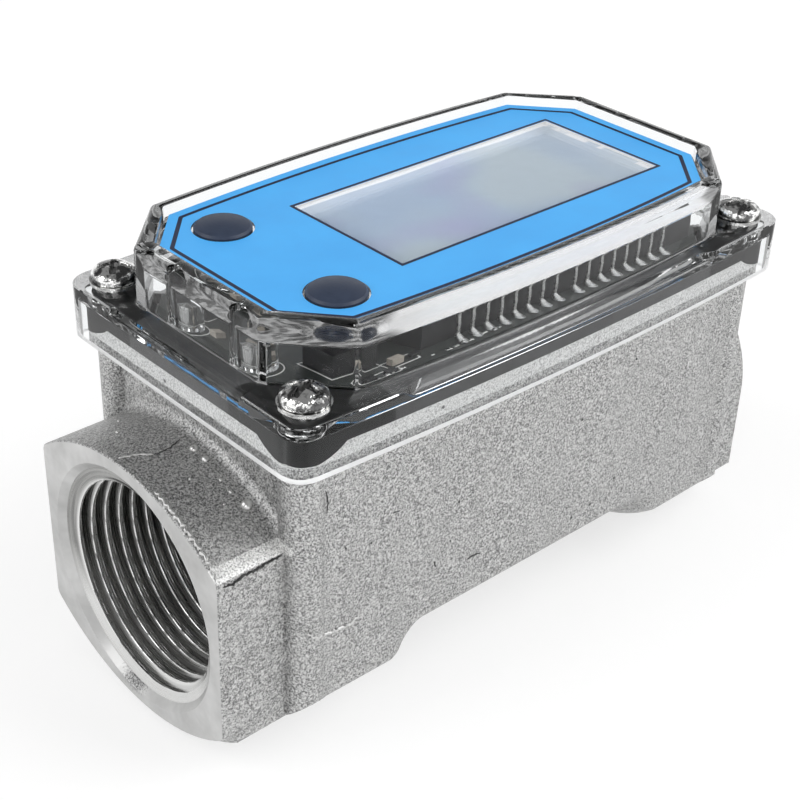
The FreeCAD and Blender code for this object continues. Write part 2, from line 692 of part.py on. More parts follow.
def push_button(y):
    """Domed cap with a collar that stops it under the cover and a stem to the switch."""
    collar_top = PLATE_UNDERSIDE - 0.1
    collar_bottom = collar_top - BUTTON_COLLAR_T
    edge = BUTTON_TOP
    crown = BUTTON_CROWN
    stem = PLUNGER_TOP + SLIP
    profile = [(0, stem), (2.0, stem), (2.0, collar_bottom), (BUTTON_COLLAR_R, collar_bottom),
               (BUTTON_COLLAR_R, collar_top), (BUTTON_R, collar_top), (BUTTON_R, edge - 0.2),
               (BUTTON_R - 0.3, edge + 0.12)]
    for k in range(1, 7):
        r = (BUTTON_R - 0.3) * (1 - k / 6.0)
        profile.append((r, edge + crown - (crown - 0.12) * (r / (BUTTON_R - 0.3)) ** 2))
    return turned_z(BUTTON_X, y, profile)


def switch_body(y):
    h = SWITCH_SIZE / 2
    z0 = BOARD_TOP + TOUCH
    base = box(BUTTON_X - h, BUTTON_X + h, y - h, y + h, z0, z0 + SWITCH_H)
    low = PLUNGER_TOP - PLUNGER_LENGTH - BUTTON_TRAVEL - 0.1
    return base.cut(rod_z(PLUNGER_R + 0.1, BUTTON_X, y, low, z0 + 2 * SWITCH_H))


def switch_plunger(y):
    return rod_z(PLUNGER_R, BUTTON_X, y, PLUNGER_TOP - PLUNGER_LENGTH, PLUNGER_TOP)


# Board and display

def circuit_board():
    board = eight_sided(BOARD, BOARD_TOP - BOARD_T, BOARD_TOP)
    for x, y in corners(POST_X, POST_Y):
        board = board.cut(rod_z(1.2, x, y, BOARD_TOP - 5, BOARD_TOP + 5))
    return board


def board_screws():
    """Small pan-head screws from below the board into the cover's posts."""
    z = BOARD_TOP - BOARD_T - TOUCH
    head = BOARD_SCREW_HEAD_R
    shank = POST_HOLE_R - 0.05
    tip = z + BOARD_SCREW_LENGTH
    screws = []
    for x, y in corners(POST_X, POST_Y):
        profile = [(0, z - BOARD_SCREW_HEAD_H), (head - 0.6, z - BOARD_SCREW_HEAD_H),
                   (head, z - BOARD_SCREW_HEAD_H + 0.5), (head, z), (shank, z), (shank, tip - 0.5), (0, tip)]
        screws.append(turned_z(x, y, profile))
    return screws


def glass_box(grow, z0, z1):
    return box(WINDOW_X - GLASS_HALF_LENGTH - grow, WINDOW_X + GLASS_HALF_LENGTH + grow,
               -GLASS_HALF_WIDTH - grow, GLASS_HALF_WIDTH + grow, z0, z1)


def lcd_glass():
    return glass_box(0, GLASS_TOP - GLASS_T, GLASS_TOP)


def lcd_reflector():
    top = GLASS_TOP - GLASS_T - TOUCH
    return glass_box(-0.6, top - REFLECTOR_T, top)


def lcd_frame():
    """Frame that stands on the board and carries the display."""
    top = GLASS_TOP - GLASS_T - 2 * TOUCH - REFLECTOR_T
    z0 = BOARD_TOP + TOUCH
    return glass_box(-GLASS_INSET, z0, top).cut(glass_box(-GLASS_INSET - FRAME_WALL, z0 - 1, top + 1))


def pin_places():
    places = []
    for k in range(PINS_PER_GROUP):
        for s in (-1, 1):
            x = WINDOW_X + PIN_SHIFT + s * (PIN_GAP / 2 + k * PIN_PITCH)
            for y in (-PIN_Y, PIN_Y):
                places.append((x, y))
    return places


def lcd_pins():
    z0 = BOARD_TOP + 2 * TOUCH + SOLDER_H
    return [box(x - 0.25, x + 0.25, y - 0.15, y + 0.15, z0, GLASS_TOP - 1.1) for x, y in pin_places()]


def lcd_solder():
    z0 = BOARD_TOP + TOUCH
    return [Part.makeCone(0.9, 0.4, SOLDER_H, vec(x, y, z0)) for x, y in pin_places()]


def processor_chip():
    """Chip package with five legs on each side."""
    z0 = BOARD_TOP + TOUCH
    x0 = CHIP_X - CHIP_HALF_LENGTH
    x1 = CHIP_X + CHIP_HALF_LENGTH
    body = box(x0, x1, -CHIP_HALF_WIDTH, CHIP_HALF_WIDTH, z0 + 0.1, z0 + CHIP_H)
    for k in range(-2, 3):
        y = k * LEG_PITCH
        body = body.fuse(box(x0 - LEG_REACH, x1 + LEG_REACH, y - 0.2, y + 0.2, z0, z0 + 0.35))
    return body


def timing_crystal():
    z0 = BOARD_TOP + TOUCH
    can = box(CHIP_X - CRYSTAL_HALF_LENGTH, CHIP_X + CRYSTAL_HALF_LENGTH, CRYSTAL_Y - CRYSTAL_HALF_WIDTH,
              CRYSTAL_Y + CRYSTAL_HALF_WIDTH, z0, z0 + CRYSTAL_H)
    return rounded_uprights(can, CRYSTAL_HALF_WIDTH - 0.1)


def chips(places, dx, dy, height):
    z0 = BOARD_TOP + TOUCH
    return [box(x - dx, x + dx, y - dy, y + dy, z0, z0 + height) for x, y in places]


def board_capacitors():
    side = BOARD[3] - CHIP_EDGE
    near = CENTRE - POST_X + CAP_POST_GAP
    places = [(CHIP_X - CAP_SHIFT, -side), (CHIP_X - CAP_SHIFT, side), (near, CAP_Y), (near, -CAP_Y),
              (CHIP_X - CAP_FAR, 0.0)]
    return chips(places, CAP_HALF_LENGTH, CAP_HALF_WIDTH, CAP_H)


def board_resistors():
    side = BOARD[3] - RESISTOR_EDGE
    inner = BOARD[3] - CHIP_EDGE
    places = [(CHIP_X - RESISTOR_FIRST, -side), (CHIP_X - RESISTOR_SECOND, -side),
              (CHIP_X + RESISTOR_THIRD, side),
              (CHIP_X - RESISTOR_PAIR, RESISTOR_Y), (CHIP_X + RESISTOR_PAIR, RESISTOR_Y),
              (CHIP_X + RESISTOR_LAST, -inner)]
    return chips(places, RESISTOR_HALF_LENGTH, RESISTOR_HALF_WIDTH, RESISTOR_H)


# Cells and contacts

def cell(side):
    """Cylindrical cell; the two lie opposite ways round."""
    half = (CELL_LENGTH + NUB_LENGTH) / 2
    y = side * CELL_Y
    can = rod_x(CELL_R, CENTRE - half, CENTRE - half + CELL_LENGTH, y, CELL_Z)
    nub = rod_x(NUB_R, CENTRE - half + CELL_LENGTH - 0.5, CENTRE + half, y, CELL_Z)
    shape = can.fuse(nub).removeSplitter()
    if side > 0:
        shape = shape.mirror(vec(CENTRE, 0, 0), vec(1, 0, 0))
    return shape


def battery_holder():
    """Tray with a bay for each cell and a gap in the middle for the coil."""
    half = TRAY_HALF
    inner = CELL_Y - CELL_R - 0.2
    outer = POCKET_HALF_WIDTH - 0.25
    tray = box(CENTRE - half, CENTRE + half, -outer, outer, TRAY_FLOOR, TRAY_TOP)
    for s in (-1, 1):
        y0, y1 = sorted((s * inner, s * (CELL_Y + CELL_R + 0.2)))
        bay = box(CENTRE - half + TRAY_WALL, CENTRE + half - TRAY_WALL, y0, y1, TRAY_FLOOR + TRAY_T,
                  TRAY_TOP + 1)
        tray = tray.cut(bay)
    tray = tray.cut(box(CENTRE - half - 1, CENTRE + half + 1, -inner + TRAY_T, inner - TRAY_T,
                        TRAY_FLOOR + TRAY_T, TRAY_TOP + 1))
    return tray.cut(rod_z(BOBBIN_R + 0.3, CENTRE, 0, TRAY_FLOOR - 1, TRAY_TOP + 1))


def positive_contacts():
    """Flat plate at the raised end of each cell."""
    face = CENTRE + TRAY_HALF - TRAY_WALL - SLIP
    plates = []
    for s in (-1, 1):
        y = s * CELL_Y
        plate = box(face - CONTACT_T, face, y - 4, y + 4, CONTACT_LOW, CONTACT_HIGH)
        if s > 0:
            plate = plate.mirror(vec(CENTRE, 0, 0), vec(1, 0, 0))
        plates.append(plate)
    return plates


def negative_contacts():
    """Sprung leaf at the flat end of each cell, bowed towards it."""
    wall = CENTRE - TRAY_HALF + TRAY_WALL + SLIP
    end = CENTRE - (CELL_LENGTH + NUB_LENGTH) / 2 - SLIP
    leaves = []
    for s in (-1, 1):
        y = s * CELL_Y
        t = CONTACT_T
        points = [(wall, CONTACT_LOW), (wall, CONTACT_HIGH), (wall + t, CONTACT_HIGH),
                  (wall + t, CELL_Z + 3.15), (end, CELL_Z + 0.75), (end, CELL_Z - 0.65),
                  (wall + t, CELL_Z - 3.05), (wall + t, CONTACT_LOW)]
        back = [(wall + t, CELL_Z + 2.55), (wall + t, CELL_Z - 2.45), (end - t, CELL_Z - 0.45),
                (end - t, CELL_Z + 0.55)]
        wire = Part.makePolygon([vec(x, y - 3, z) for x, z in points + points[:1]])
        leaf = Part.Face(wire).extrude(vec(0, 6, 0))
        hollow = Part.makePolygon([vec(x, y - 4, z) for x, z in back + back[:1]])
        leaf = leaf.cut(Part.Face(hollow).extrude(vec(0, 8, 0)))
        if s > 0:
            leaf = leaf.mirror(vec(CENTRE, 0, 0), vec(1, 0, 0))
        leaves.append(leaf)
    return leaves


def battery_leads():
    """Posts from the contacts up to the board."""
    top = BOARD_TOP - BOARD_T - TOUCH
    far = CENTRE + TRAY_HALF - TRAY_WALL - SLIP - CONTACT_T / 2
    near = CENTRE - TRAY_HALF + TRAY_WALL + SLIP + CONTACT_T / 2
    return [rod_z(0.35, x, y, CONTACT_HIGH + TOUCH, top) for x in (near, far) for y in (-CELL_Y, CELL_Y)]


# Pickup coil

def coil_bobbin():
    tube = tube_z(BOBBIN_TUBE_R, CORE_R + SLIP, CENTRE, 0, BOBBIN_BOTTOM, BOBBIN_TOP)
    low = tube_z(BOBBIN_R, BOBBIN_TUBE_R - 0.3, CENTRE, 0, BOBBIN_BOTTOM, BOBBIN_BOTTOM + BOBBIN_FLANGE)
    high = tube_z(BOBBIN_R, BOBBIN_TUBE_R - 0.3, CENTRE, 0, BOBBIN_TOP - BOBBIN_FLANGE, BOBBIN_TOP)
    return tube.fuse([low, high]).removeSplitter()


def pickup_coil():
    return tube_z(COIL_R, BOBBIN_TUBE_R + SLIP, CENTRE, 0, BOBBIN_BOTTOM + BOBBIN_FLANGE + SLIP,
                  BOBBIN_TOP - BOBBIN_FLANGE - SLIP)


def coil_core():
    return rod_z(CORE_R, CENTRE, 0, BOBBIN_BOTTOM, BOBBIN_TOP + 0.6)


def coil_leads():
    return [rod_z(0.3, CENTRE + dx, 0, BOBBIN_TOP + TOUCH, BOARD_TOP - BOARD_T - TOUCH) for dx in (-3.8, 3.8)]


# Turbine

def spoke(r0, r1, thickness, angle, x):
    """Closed rectangle across the flow axis, turned to an angle."""
    h = thickness / 2
    a = math.radians(angle)
    points = []
    for r, t in ((r0, -h), (r1, -h), (r1, h), (r0, h), (r0, -h)):
        points.append(vec(x, r * math.cos(a) - t * math.sin(a), r * math.sin(a) + t * math.cos(a)))
    return Part.makePolygon(points)


def rotor_blade(angle):
    """Blade that twists round the hub as it runs along the flow."""
    stations = 6
    half = ROTOR_HALF - 0.6
    wires = []
    for k in range(stations + 1):
        u = k / stations
        turn = angle + BLADE_TWIST * (u - 0.5)
        wires.append(spoke(HUB_R - 0.8, ROTOR_TIP_R, BLADE_T, turn, CENTRE + half * (2 * u - 1)))
    return Part.makeLoft(wires, True, False)


def magnet_rod(side, r, low, high):
    return Part.makeCylinder(r, high - low, vec(CENTRE, 0, side * low), vec(0, 0, side))


def turbine_rotor():
    hub = rod_x(HUB_R, CENTRE - ROTOR_HALF, CENTRE + ROTOR_HALF)
    rotor = hub.fuse([rotor_blade(360.0 * k / BLADES) for k in range(BLADES)])
    rotor = rotor.cut(rod_x(BUSH_R + SLIP, CENTRE - ROTOR_HALF - 1, CENTRE + ROTOR_HALF + 1))
    for side in (-1, 1):
        rotor = rotor.cut(magnet_rod(side, MAGNET_R + SLIP, BUSH_R, HUB_R + 0.5))
    return rotor


def rotor_magnets():
    return [magnet_rod(side, MAGNET_R, BUSH_R + 0.2, HUB_R - 0.2) for side in (-1, 1)]


def rotor_bushes():
    bushes = []
    for s in (-1, 1):
        a, b = sorted((CENTRE + s * ROTOR_HALF, CENTRE + s * (ROTOR_HALF - BUSH_LENGTH)))
        bushes.append(tube_x(BUSH_R, BUSH_BORE_R, a, b))
    return bushes


def thrust_washers():
    washers = []
    for s in (-1, 1):
        gap = ROTOR_HALF + THRUST_GAP
        a, b = sorted((CENTRE + s * gap, CENTRE + s * (gap + THRUST_T)))
        washers.append(tube_x(3.2, SHAFT_R + SLIP, a, b))
    return washers


def rotor_shaft():
    return rod_x(SHAFT_R, CENTRE - SHAFT_HALF, CENTRE + SHAFT_HALF)


def support():
    """Inlet support: outer ring, straightening vanes and a hub with a rounded nose."""
    x1 = CENTRE - THROAT_HALF - SLIP
    x0 = x1 - SUPPORT_LENGTH
    hub_end = CENTRE - ROTOR_HALF - 2 * THRUST_GAP - THRUST_T
    ring = tube_x(SEAT_R - 0.1, SEAT_R - 0.1 - SUPPORT_RING_T, x0, x1)
    nose = x0 + 1.5
    hub = turned_x([(nose - NOSE_LENGTH, 0), (nose - NOSE_LENGTH, 1.2), (nose - 3.2, 2.6), (nose - 1.8, 3.9),
                    (nose, HUB_R), (hub_end - 0.5, HUB_R), (hub_end, HUB_R - 0.5), (hub_end, 0)])
    blades = []
    for k in range(VANES):
        wire = spoke(HUB_R - 0.8, SEAT_R - 0.5, VANE_T, 90 + 360.0 * k / VANES, x0 + 2.0)
        blades.append(Part.Face(wire).extrude(vec(x1 - x0 - 3.0, 0, 0)))
    shape = ring.fuse([hub] + blades)
    return shape.cut(rod_x(SHAFT_R + SLIP, CENTRE - SHAFT_HALF - 0.2, hub_end + 1)).removeSplitter()


def retaining_ring(x0):
    """Sprung ring with two eyed ears at its gap."""
    ring = tube_x(GROOVE_R - 0.15, SEAT_R - 1.0, x0, x0 + RING_T)
    ring = ring.cut(box(x0 - 1, x0 + RING_T + 1, -RING_GAP, RING_GAP, -GROOVE_R - 1, 0))
    for y in (-EAR_Y, EAR_Y):
        ring = ring.fuse(rod_x(EAR_R, x0, x0 + RING_T, y, -EAR_Z))
    for y in (-EAR_Y, EAR_Y):
        ring = ring.cut(rod_x(EAR_HOLE_R, x0 - 1, x0 + RING_T + 1, y, 0.3 - EAR_Z))
    return ring.removeSplitter()


def main():
    os.makedirs("parts", exist_ok=True)
    save("meter_body", [meter_body()])
    save("clear_cover", [clear_cover()])
    save("cover_gasket", [gasket()])
    save("face_label", [face_label()])
    save("cover_screws", cover_screws())
    save("screw_washers", screw_washers())
    save("display_button", [push_button(-BUTTON_Y)])
    save("calibrate_button", [push_button(BUTTON_Y)])
    save("display_switch", [switch_body(-BUTTON_Y)])
    save("calibrate_switch", [switch_body(BUTTON_Y)])
    save("display_switch_plunger", [switch_plunger(-BUTTON_Y)])
    save("calibrate_switch_plunger", [switch_plunger(BUTTON_Y)])
    save("circuit_board", [circuit_board()])
    save("board_screws", board_screws())
    save("lcd_glass", [lcd_glass()])
    save("lcd_reflector", [lcd_reflector()])
    save("lcd_frame", [lcd_frame()])
    save("lcd_pins", lcd_pins())
    save("lcd_solder", lcd_solder())
    save("processor_chip", [processor_chip()])
    save("timing_crystal", [timing_crystal()])
    save("board_capacitors", board_capacitors())
    save("board_resistors", board_resistors())
    save("near_battery", [cell(-1)])
    save("far_battery", [cell(1)])
    save("battery_holder", [battery_holder()])
    save("positive_contacts", positive_contacts())
    save("negative_contacts", negative_contacts())
    save("battery_leads", battery_leads())
    save("coil_bobbin", [coil_bobbin()])
    save("pickup_coil", [pickup_coil()])
    save("coil_core", [coil_core()])
    save("coil_leads", coil_leads())
    save("turbine_rotor", [turbine_rotor()])
    save("rotor_magnets", rotor_magnets())
    save("rotor_bushes", rotor_bushes())
    save("thrust_washers", thrust_washers())
    save("rotor_shaft", [rotor_shaft()])
    inlet = support()
    save("inlet_support", [inlet])
    save("outlet_support", [inlet.mirror(vec(CENTRE, 0, 0), vec(1, 0, 0))])
    x_in, x_out = groove_starts()
    save("inlet_retaining_ring", [retaining_ring(x_in + 0.1)])
    save("outlet_retaining_ring", [retaining_ring(x_out + 0.1)])


main()
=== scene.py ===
"""Looks of the turbine flow meter: cast body, threaded ports, clear cover, faceplate and screws."""

import math

import bmesh
import bpy
import numpy as np
from mathutils import Matrix


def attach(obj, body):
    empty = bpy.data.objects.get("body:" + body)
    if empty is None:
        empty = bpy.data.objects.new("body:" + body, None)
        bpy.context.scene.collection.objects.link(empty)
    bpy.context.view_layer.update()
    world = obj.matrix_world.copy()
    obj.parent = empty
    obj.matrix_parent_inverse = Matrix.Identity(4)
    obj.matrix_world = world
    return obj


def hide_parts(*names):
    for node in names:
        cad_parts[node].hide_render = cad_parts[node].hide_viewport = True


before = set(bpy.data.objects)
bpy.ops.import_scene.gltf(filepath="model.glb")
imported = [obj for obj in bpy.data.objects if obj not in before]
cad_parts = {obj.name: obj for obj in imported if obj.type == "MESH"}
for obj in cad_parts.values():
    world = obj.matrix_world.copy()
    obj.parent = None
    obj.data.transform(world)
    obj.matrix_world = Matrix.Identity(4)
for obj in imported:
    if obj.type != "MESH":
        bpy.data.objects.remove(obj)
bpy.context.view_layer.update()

MM = 0.001
TURN = 2 * np.pi

# Body and bore, millimetres in the solid model's frame.
CENTRE = 54.1
FOOT_PAD = -21.4
INLET_FACE = -1.7
OUTLET_FACE = 105.3
INLET_THREAD = 0.0
OUTLET_THREAD = 103.6
THREAD_R = 16.62
THREAD_LEAD = 0.72
THREAD_RUN = 17.3
THREAD_PITCH = 2.309
THREAD_DEPTH = 1.48
CROWN_R = 33.0
CROWN_Z = -12.86
BODY_SIDE = 22.8
BODY_HALF_LENGTH = 43.6
BODY_BOW = 1.5

# Where the body's finish changes: turned mouth and bore, rim painted bright as painted light, edge with a
# painted highlight (x and y end, z from and to), and the move that brings a dark blot on the inlet face to the
# origin, this one in metres.
MOUTH_R = 18.6
MOUTH_RUN = 0.6
BORE_FINISH_R = 16.75
RIM_Z = 27.3
PAINTED_HIGHLIGHT_EDGE = (9.2, -18.6, 13.03, 14.5)
STAIN_SHIFT = (0.001, -0.0013, 0.0159)

# Clear cover in plan: half length, half end width, corner run, half width, bow of the long sides.
FLANGE = (47.25, 25.4, 0.0, 25.4, 1.5)
DOME = (43.4, 13.3, 8.9, 22.4, 1.45)
RECESS = (40.75, 11.995, 7.145, 20.28, 1.35)
LABEL_LINE = (39.07, 11.3, 6.7, 18.63, 1.32)
FLANGE_CORNER = 3.2
DOME_CORNER = 0.9
RECESS_CORNER = 0.5
FLANGE_TOP = 34.2
FLANGE_UNDERSIDE = 31.7
SKIRT_BOTTOM = 26.3
SKIRT_T = 1.7
DOME_TOP = 43.1
DOME_EDGE = 1.2
DOME_WALL = 2.2
PLATE_TOP = 41.33
PLATE_UNDERSIDE = 39.3
LEDGE_HALF = 30.5
END_LEDGE_HALF = 14.5
LABEL_TOP = 41.75
WINDOW_X = 61.66
WINDOW_HALF = (25.42, 11.28)

# Tangent of half a 45 degree corner, and the rest of it up to one.
CORNER_TAN = 0.41421
CORNER_REST = 0.58579

# Fasteners, buttons and board.
SCREWS = [(CENTRE + sx * 42.0, sy * 20.6) for sx in (-1, 1) for sy in (-1, 1)]
SCREW_TURNS = (0.35, 0.9, 1.25, 0.55)
SCREW_SEAT = FLANGE_TOP + 0.52
SCREW_TIP = 19.7
SCREW_HEAD_R = 3.25
SCREW_HEIGHT = 2.2
SHANK_R = 1.5
SHANK_PITCH = 0.5
SCREW_HOLE_R = 1.85
DRIVER_REACH = 2.15
DRIVER_DEPTH = 1.6
POSTS = [(CENTRE + sx * 37.9, sy * 6.8) for sx in (-1, 1) for sy in (-1, 1)]
POST_R = 2.4
RIB_HALF = 0.55
BUTTONS = [(24.39, -12.0), (24.39, 12.0)]
BUTTON_HOLE_R = 4.35
BOARD_TOP = 32.4
PIN_X = 60.76
PIN_Y = 16.65
PIN_PITCH = 2.64
PIN_FIRST = 1.95
PINS_EACH_WAY = 8
PINS = [(PIN_X + s * (PIN_FIRST + PIN_PITCH * k), side)
        for k in range(PINS_EACH_WAY) for s in (-1, 1) for side in (-1, 1)]


# Meshes

def grid_faces(rows, cols, start, closed):
    """Quads of a grid whose columns join round, and whose last row joins the first when closed."""
    down = np.arange(rows if closed else rows - 1)[:, None]
    across = np.arange(cols)[None, :]
    a = down * cols + across
    b = down * cols + (across + 1) % cols
    c = (down + 1) % rows * cols + (across + 1) % cols
    d = (down + 1) % rows * cols + across
    return np.stack([a, b, c, d], axis=-1).reshape(-1, 4) + start


def outward(grid, closed):
    """The grid with its faces outwards: its volume, summed as tetrahedra over the quads, is positive."""
    points = grid.reshape(-1, 3) - grid.reshape(-1, 3).mean(axis=0)
    p = points[grid_faces(grid.shape[0], grid.shape[1], 0, closed)]
    volume = np.sum(p[:, 0] * np.cross(p[:, 1], p[:, 2]))
    volume += np.sum(p[:, 0] * np.cross(p[:, 2], p[:, 3]))
    return grid if volume > 0 else grid[:, ::-1]


def mesh_object(name, grids, closed=False, crease=35.0):
    """Object from closed grids of points in millimetres, with seams and poles merged."""
    faces = []
    start = 0
    turned_out = [outward(np.asarray(grid, float), closed) for grid in grids]
    for grid in turned_out:
        faces.append(grid_faces(grid.shape[0], grid.shape[1], start, closed))
        start += grid.shape[0] * grid.shape[1]
    points = np.concatenate([grid.reshape(-1, 3) for grid in turned_out]) * MM
    mesh = bpy.data.meshes.new(name)
    mesh.from_pydata(points.tolist(), [], np.concatenate(faces).tolist())
    shape = bmesh.new()
    shape.from_mesh(mesh)
    bmesh.ops.remove_doubles(shape, verts=shape.verts, dist=3e-7)
    shape.to_mesh(mesh)
    shape.free()
    smooth(mesh, crease)
    made = bpy.data.objects.new(name, mesh)
    bpy.context.scene.collection.objects.link(made)
    return made


def smooth(mesh, crease):
    """Smooth shading, with edges that bend by more than crease degrees kept sharp."""
    mesh.polygons.foreach_set("use_smooth", np.ones(len(mesh.polygons), bool))
    if crease < 180:
        mesh.set_sharp_from_angle(angle=math.radians(crease))
    mesh.update()


def dress(made, material, body="housing", stands_for=()):
    """Gives a piece its finish and the body that it rides on, and hides the solids that it stands for."""
    made.data.materials.clear()
    made.data.materials.append(material)
    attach(made, body)
    if stands_for:
        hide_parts(*stands_for)
    return made


def turned_up(profile, x, y, count=72):
    """Surface of revolution about an upright axis: each (r, z) becomes a circle of radius r at height z."""
    r, z = np.asarray(profile, float).T
    a = np.arange(count) / count * TURN
    grid = np.empty((len(r), count, 3))
    grid[..., 0] = x + r[:, None] * np.cos(a)
    grid[..., 1] = y + r[:, None] * np.sin(a)
    grid[..., 2] = z[:, None]
    return grid


def outline_points(sizes, radius):
    """Dense closed outline of the cover's plan: straight sides joined by arcs of the radius, then the long
    sides are pushed out by bow times one minus the square of the distance along them."""
    length, end, run, width, bow = sizes
    inner_l, inner_w = length - radius, width - radius
    if run > 0:
        k = CORNER_TAN * radius
        flat = length - run - k
        sides = [(inner_l, k - end), (inner_l, end - k), (flat, inner_w), (-flat, inner_w),
                 (-inner_l, end - k), (-inner_l, k - end), (-flat, -inner_w), (flat, -inner_w)]
        turns = np.full(8, 45.0)
        first = np.array([-45, 0, 45, 90, 135, 180, 225, 270], float)
    else:
        sides = [(inner_l, -inner_w), (inner_l, inner_w), (-inner_l, inner_w), (-inner_l, -inner_w)]
        turns = np.full(4, 90.0)
        first = np.array([-90, 0, 90, 180], float)
    corner = np.asarray(sides, float)
    a = np.radians(first[:, None] + turns[:, None] * np.linspace(0, 1, 15))
    arcs = corner[:, None, :] + radius * np.stack([np.cos(a), np.sin(a)], axis=-1)
    nodes = arcs.reshape(-1, 2)
    ahead = np.roll(nodes, -1, axis=0)
    t = np.linspace(0, 1, 60, endpoint=False)[None, :, None]
    dense = (nodes[:, None, :] * (1 - t) + ahead[:, None, :] * t).reshape(-1, 2)
    side_half = length - run if run > 0 else length
    lift = bow * np.clip(1 - (dense[:, 0] / side_half) ** 2, 0, 1) * np.abs(dense[:, 1]) / width
    dense[:, 1] += np.sign(dense[:, 1]) * lift
    return dense


def inset(sizes, d):
    """The same plan with every side moved inwards by d."""
    length, end, run, width, bow = sizes
    if run > 0:
        return (length - d, end - CORNER_TAN * d, run - CORNER_REST * d, width - d, bow)
    return (length - d, end - d, 0.0, width - d, bow)


def reach(sizes, radius, angle):
    """Distance from the middle to the outline in each direction."""
    points = outline_points(sizes, max(radius, 0.05))
    bearing = np.arctan2(points[:, 1], points[:, 0]) % TURN
    order = np.argsort(bearing)
    return np.interp(angle, bearing[order], np.hypot(*points.T)[order], period=TURN)


def ring(sizes, radius, angle, z):
    """One closed row of points round the cover at height z."""
    r = reach(sizes, radius, angle)
    row = np.empty((len(angle), 3))
    row[:, 0] = CENTRE + r * np.cos(angle)
    row[:, 1] = r * np.sin(angle)
    row[:, 2] = z
    return row


def cover_angles():
    """Directions of the cover's columns: even steps round the flange, and more at every corner."""
    even = outline_points(FLANGE, FLANGE_CORNER)
    walk = np.concatenate([[0], np.cumsum(np.hypot(*(np.roll(even, -1, 0) - even).T))])
    spots = np.interp(np.linspace(0, walk[-1], 420, endpoint=False), walk, np.arange(len(walk)))
    chosen = even[spots.astype(int) % len(even)]
    lists = [np.arctan2(chosen[:, 1], chosen[:, 0])]
    for sizes in (DOME, RECESS, FLANGE):
        length, end, run, width = sizes[:4]
        fan = np.linspace(-2.2, 2.2, 15)
        for sx in (-1, 1):
            for sy in (-1, 1):
                for x, y in ((length, end), (length - run, width)):
                    middle = math.atan2(sy * y, sx * x)
                    lists.append(middle + fan / math.hypot(x, y))
    return np.unique(np.round(np.concatenate(lists) % TURN, 4))


def eased(distance, limit, run=0.3):
    """One inside the limit and zero outside it, with a short smooth step between."""
    t = np.clip((limit - np.abs(distance)) / run + 0.5, 0, 1)
    return t * t * (3 - 2 * t)


def flange_edge(angle):
    """Width and drop of the bevel on the flange's top edge: broad along the long sides between the screw pads,
    narrower at the short ends, and only a soft edge at the pads."""
    row = ring(FLANGE, FLANGE_CORNER, angle, 0)
    long_side = eased(row[:, 0] - CENTRE, LEDGE_HALF) * (np.abs(row[:, 1]) > 20)
    short_end = eased(row[:, 1], END_LEDGE_HALF) * (np.abs(row[:, 0] - CENTRE) > 40)
    width = 0.16 + 1.44 * long_side + 0.84 * short_end
    drop = 0.16 + 0.94 * long_side + 0.74 * short_end
    return width, drop


def cover_rows(angle):
    """Rows of the cover's skin, from the middle of the faceplate recess over rim, dome, flange and skirt, and
    back underneath to the middle of the plate's underside."""
    rows = []

    def put(sizes, radius, d, z, scale=1.0):
        row = ring(inset(sizes, d), max(radius - d, 0.15), angle, z)
        row[:, 0] = CENTRE + (row[:, 0] - CENTRE) * scale
        row[:, 1] *= scale
        rows.append(row)

    put(RECESS, RECESS_CORNER, 0.0, PLATE_TOP, 0.0)
    put(RECESS, RECESS_CORNER, 0.0, PLATE_TOP, 0.9)
    for d, z in ((0.25, 0.0), (0.07, 0.07), (0.0, 0.25)):
        put(RECESS, RECESS_CORNER, d, PLATE_TOP + z)
    for d, z in ((0.0, -0.35), (-0.1, -0.1), (-0.35, 0.0)):
        put(RECESS, RECESS_CORNER, d, DOME_TOP + z)
    for step in np.radians([0, 15, 30, 45, 60, 75, 90]):
        put(DOME, DOME_CORNER, DOME_EDGE * (1 - math.sin(step)), DOME_TOP - DOME_EDGE * (1 - math.cos(step)))
    put(DOME, DOME_CORNER, 0.0, 38.5)
    for step in np.radians([0, 30, 60, 90]):
        put(DOME, DOME_CORNER, -0.6 * (1 - math.cos(step)), FLANGE_TOP + 0.6 * (1 - math.sin(step)))
    width, drop = flange_edge(angle)
    outer = ring(FLANGE, FLANGE_CORNER, angle, 0)
    step_in = ring(inset(FLANGE, 1.0), FLANGE_CORNER - 1.0, angle, 0) - outer
    for w, h in ((1.15, 0.0), (1.0, 0.04), (0.9, 0.14), (0.1, 0.9), (0.02, 1.0), (0.0, 1.15)):
        row = outer + step_in * (w * width)[:, None]
        row[:, 2] = FLANGE_TOP - h * drop
        rows.append(row)
    put(FLANGE, FLANGE_CORNER, 0.0, SKIRT_BOTTOM + 0.4)
    for d, z in ((0.0, 0.08), (0.02, 0.02), (0.08, 0.0),
                 (SKIRT_T - 0.08, 0.0), (SKIRT_T - 0.02, 0.02), (SKIRT_T, 0.08)):
        put(FLANGE, FLANGE_CORNER, d, SKIRT_BOTTOM + z)
    for d, z in ((0.0, -0.3), (0.09, -0.09), (0.3, 0.0)):
        put(FLANGE, FLANGE_CORNER, SKIRT_T + d, FLANGE_UNDERSIDE + z)
    for d, z in ((-0.25, 0.0), (-0.07, 0.07), (0.0, 0.25)):
        put(DOME, DOME_CORNER, DOME_WALL + d, FLANGE_UNDERSIDE + z)
    for d, z in ((0.0, -0.4), (0.12, -0.12), (0.4, 0.0)):
        put(DOME, DOME_CORNER, DOME_WALL + d, PLATE_UNDERSIDE + z)
    put(DOME, DOME_CORNER, DOME_WALL + 0.4, PLATE_UNDERSIDE, 0.9)
    put(DOME, DOME_CORNER, DOME_WALL + 0.4, PLATE_UNDERSIDE, 0.0)
    return np.array(rows)


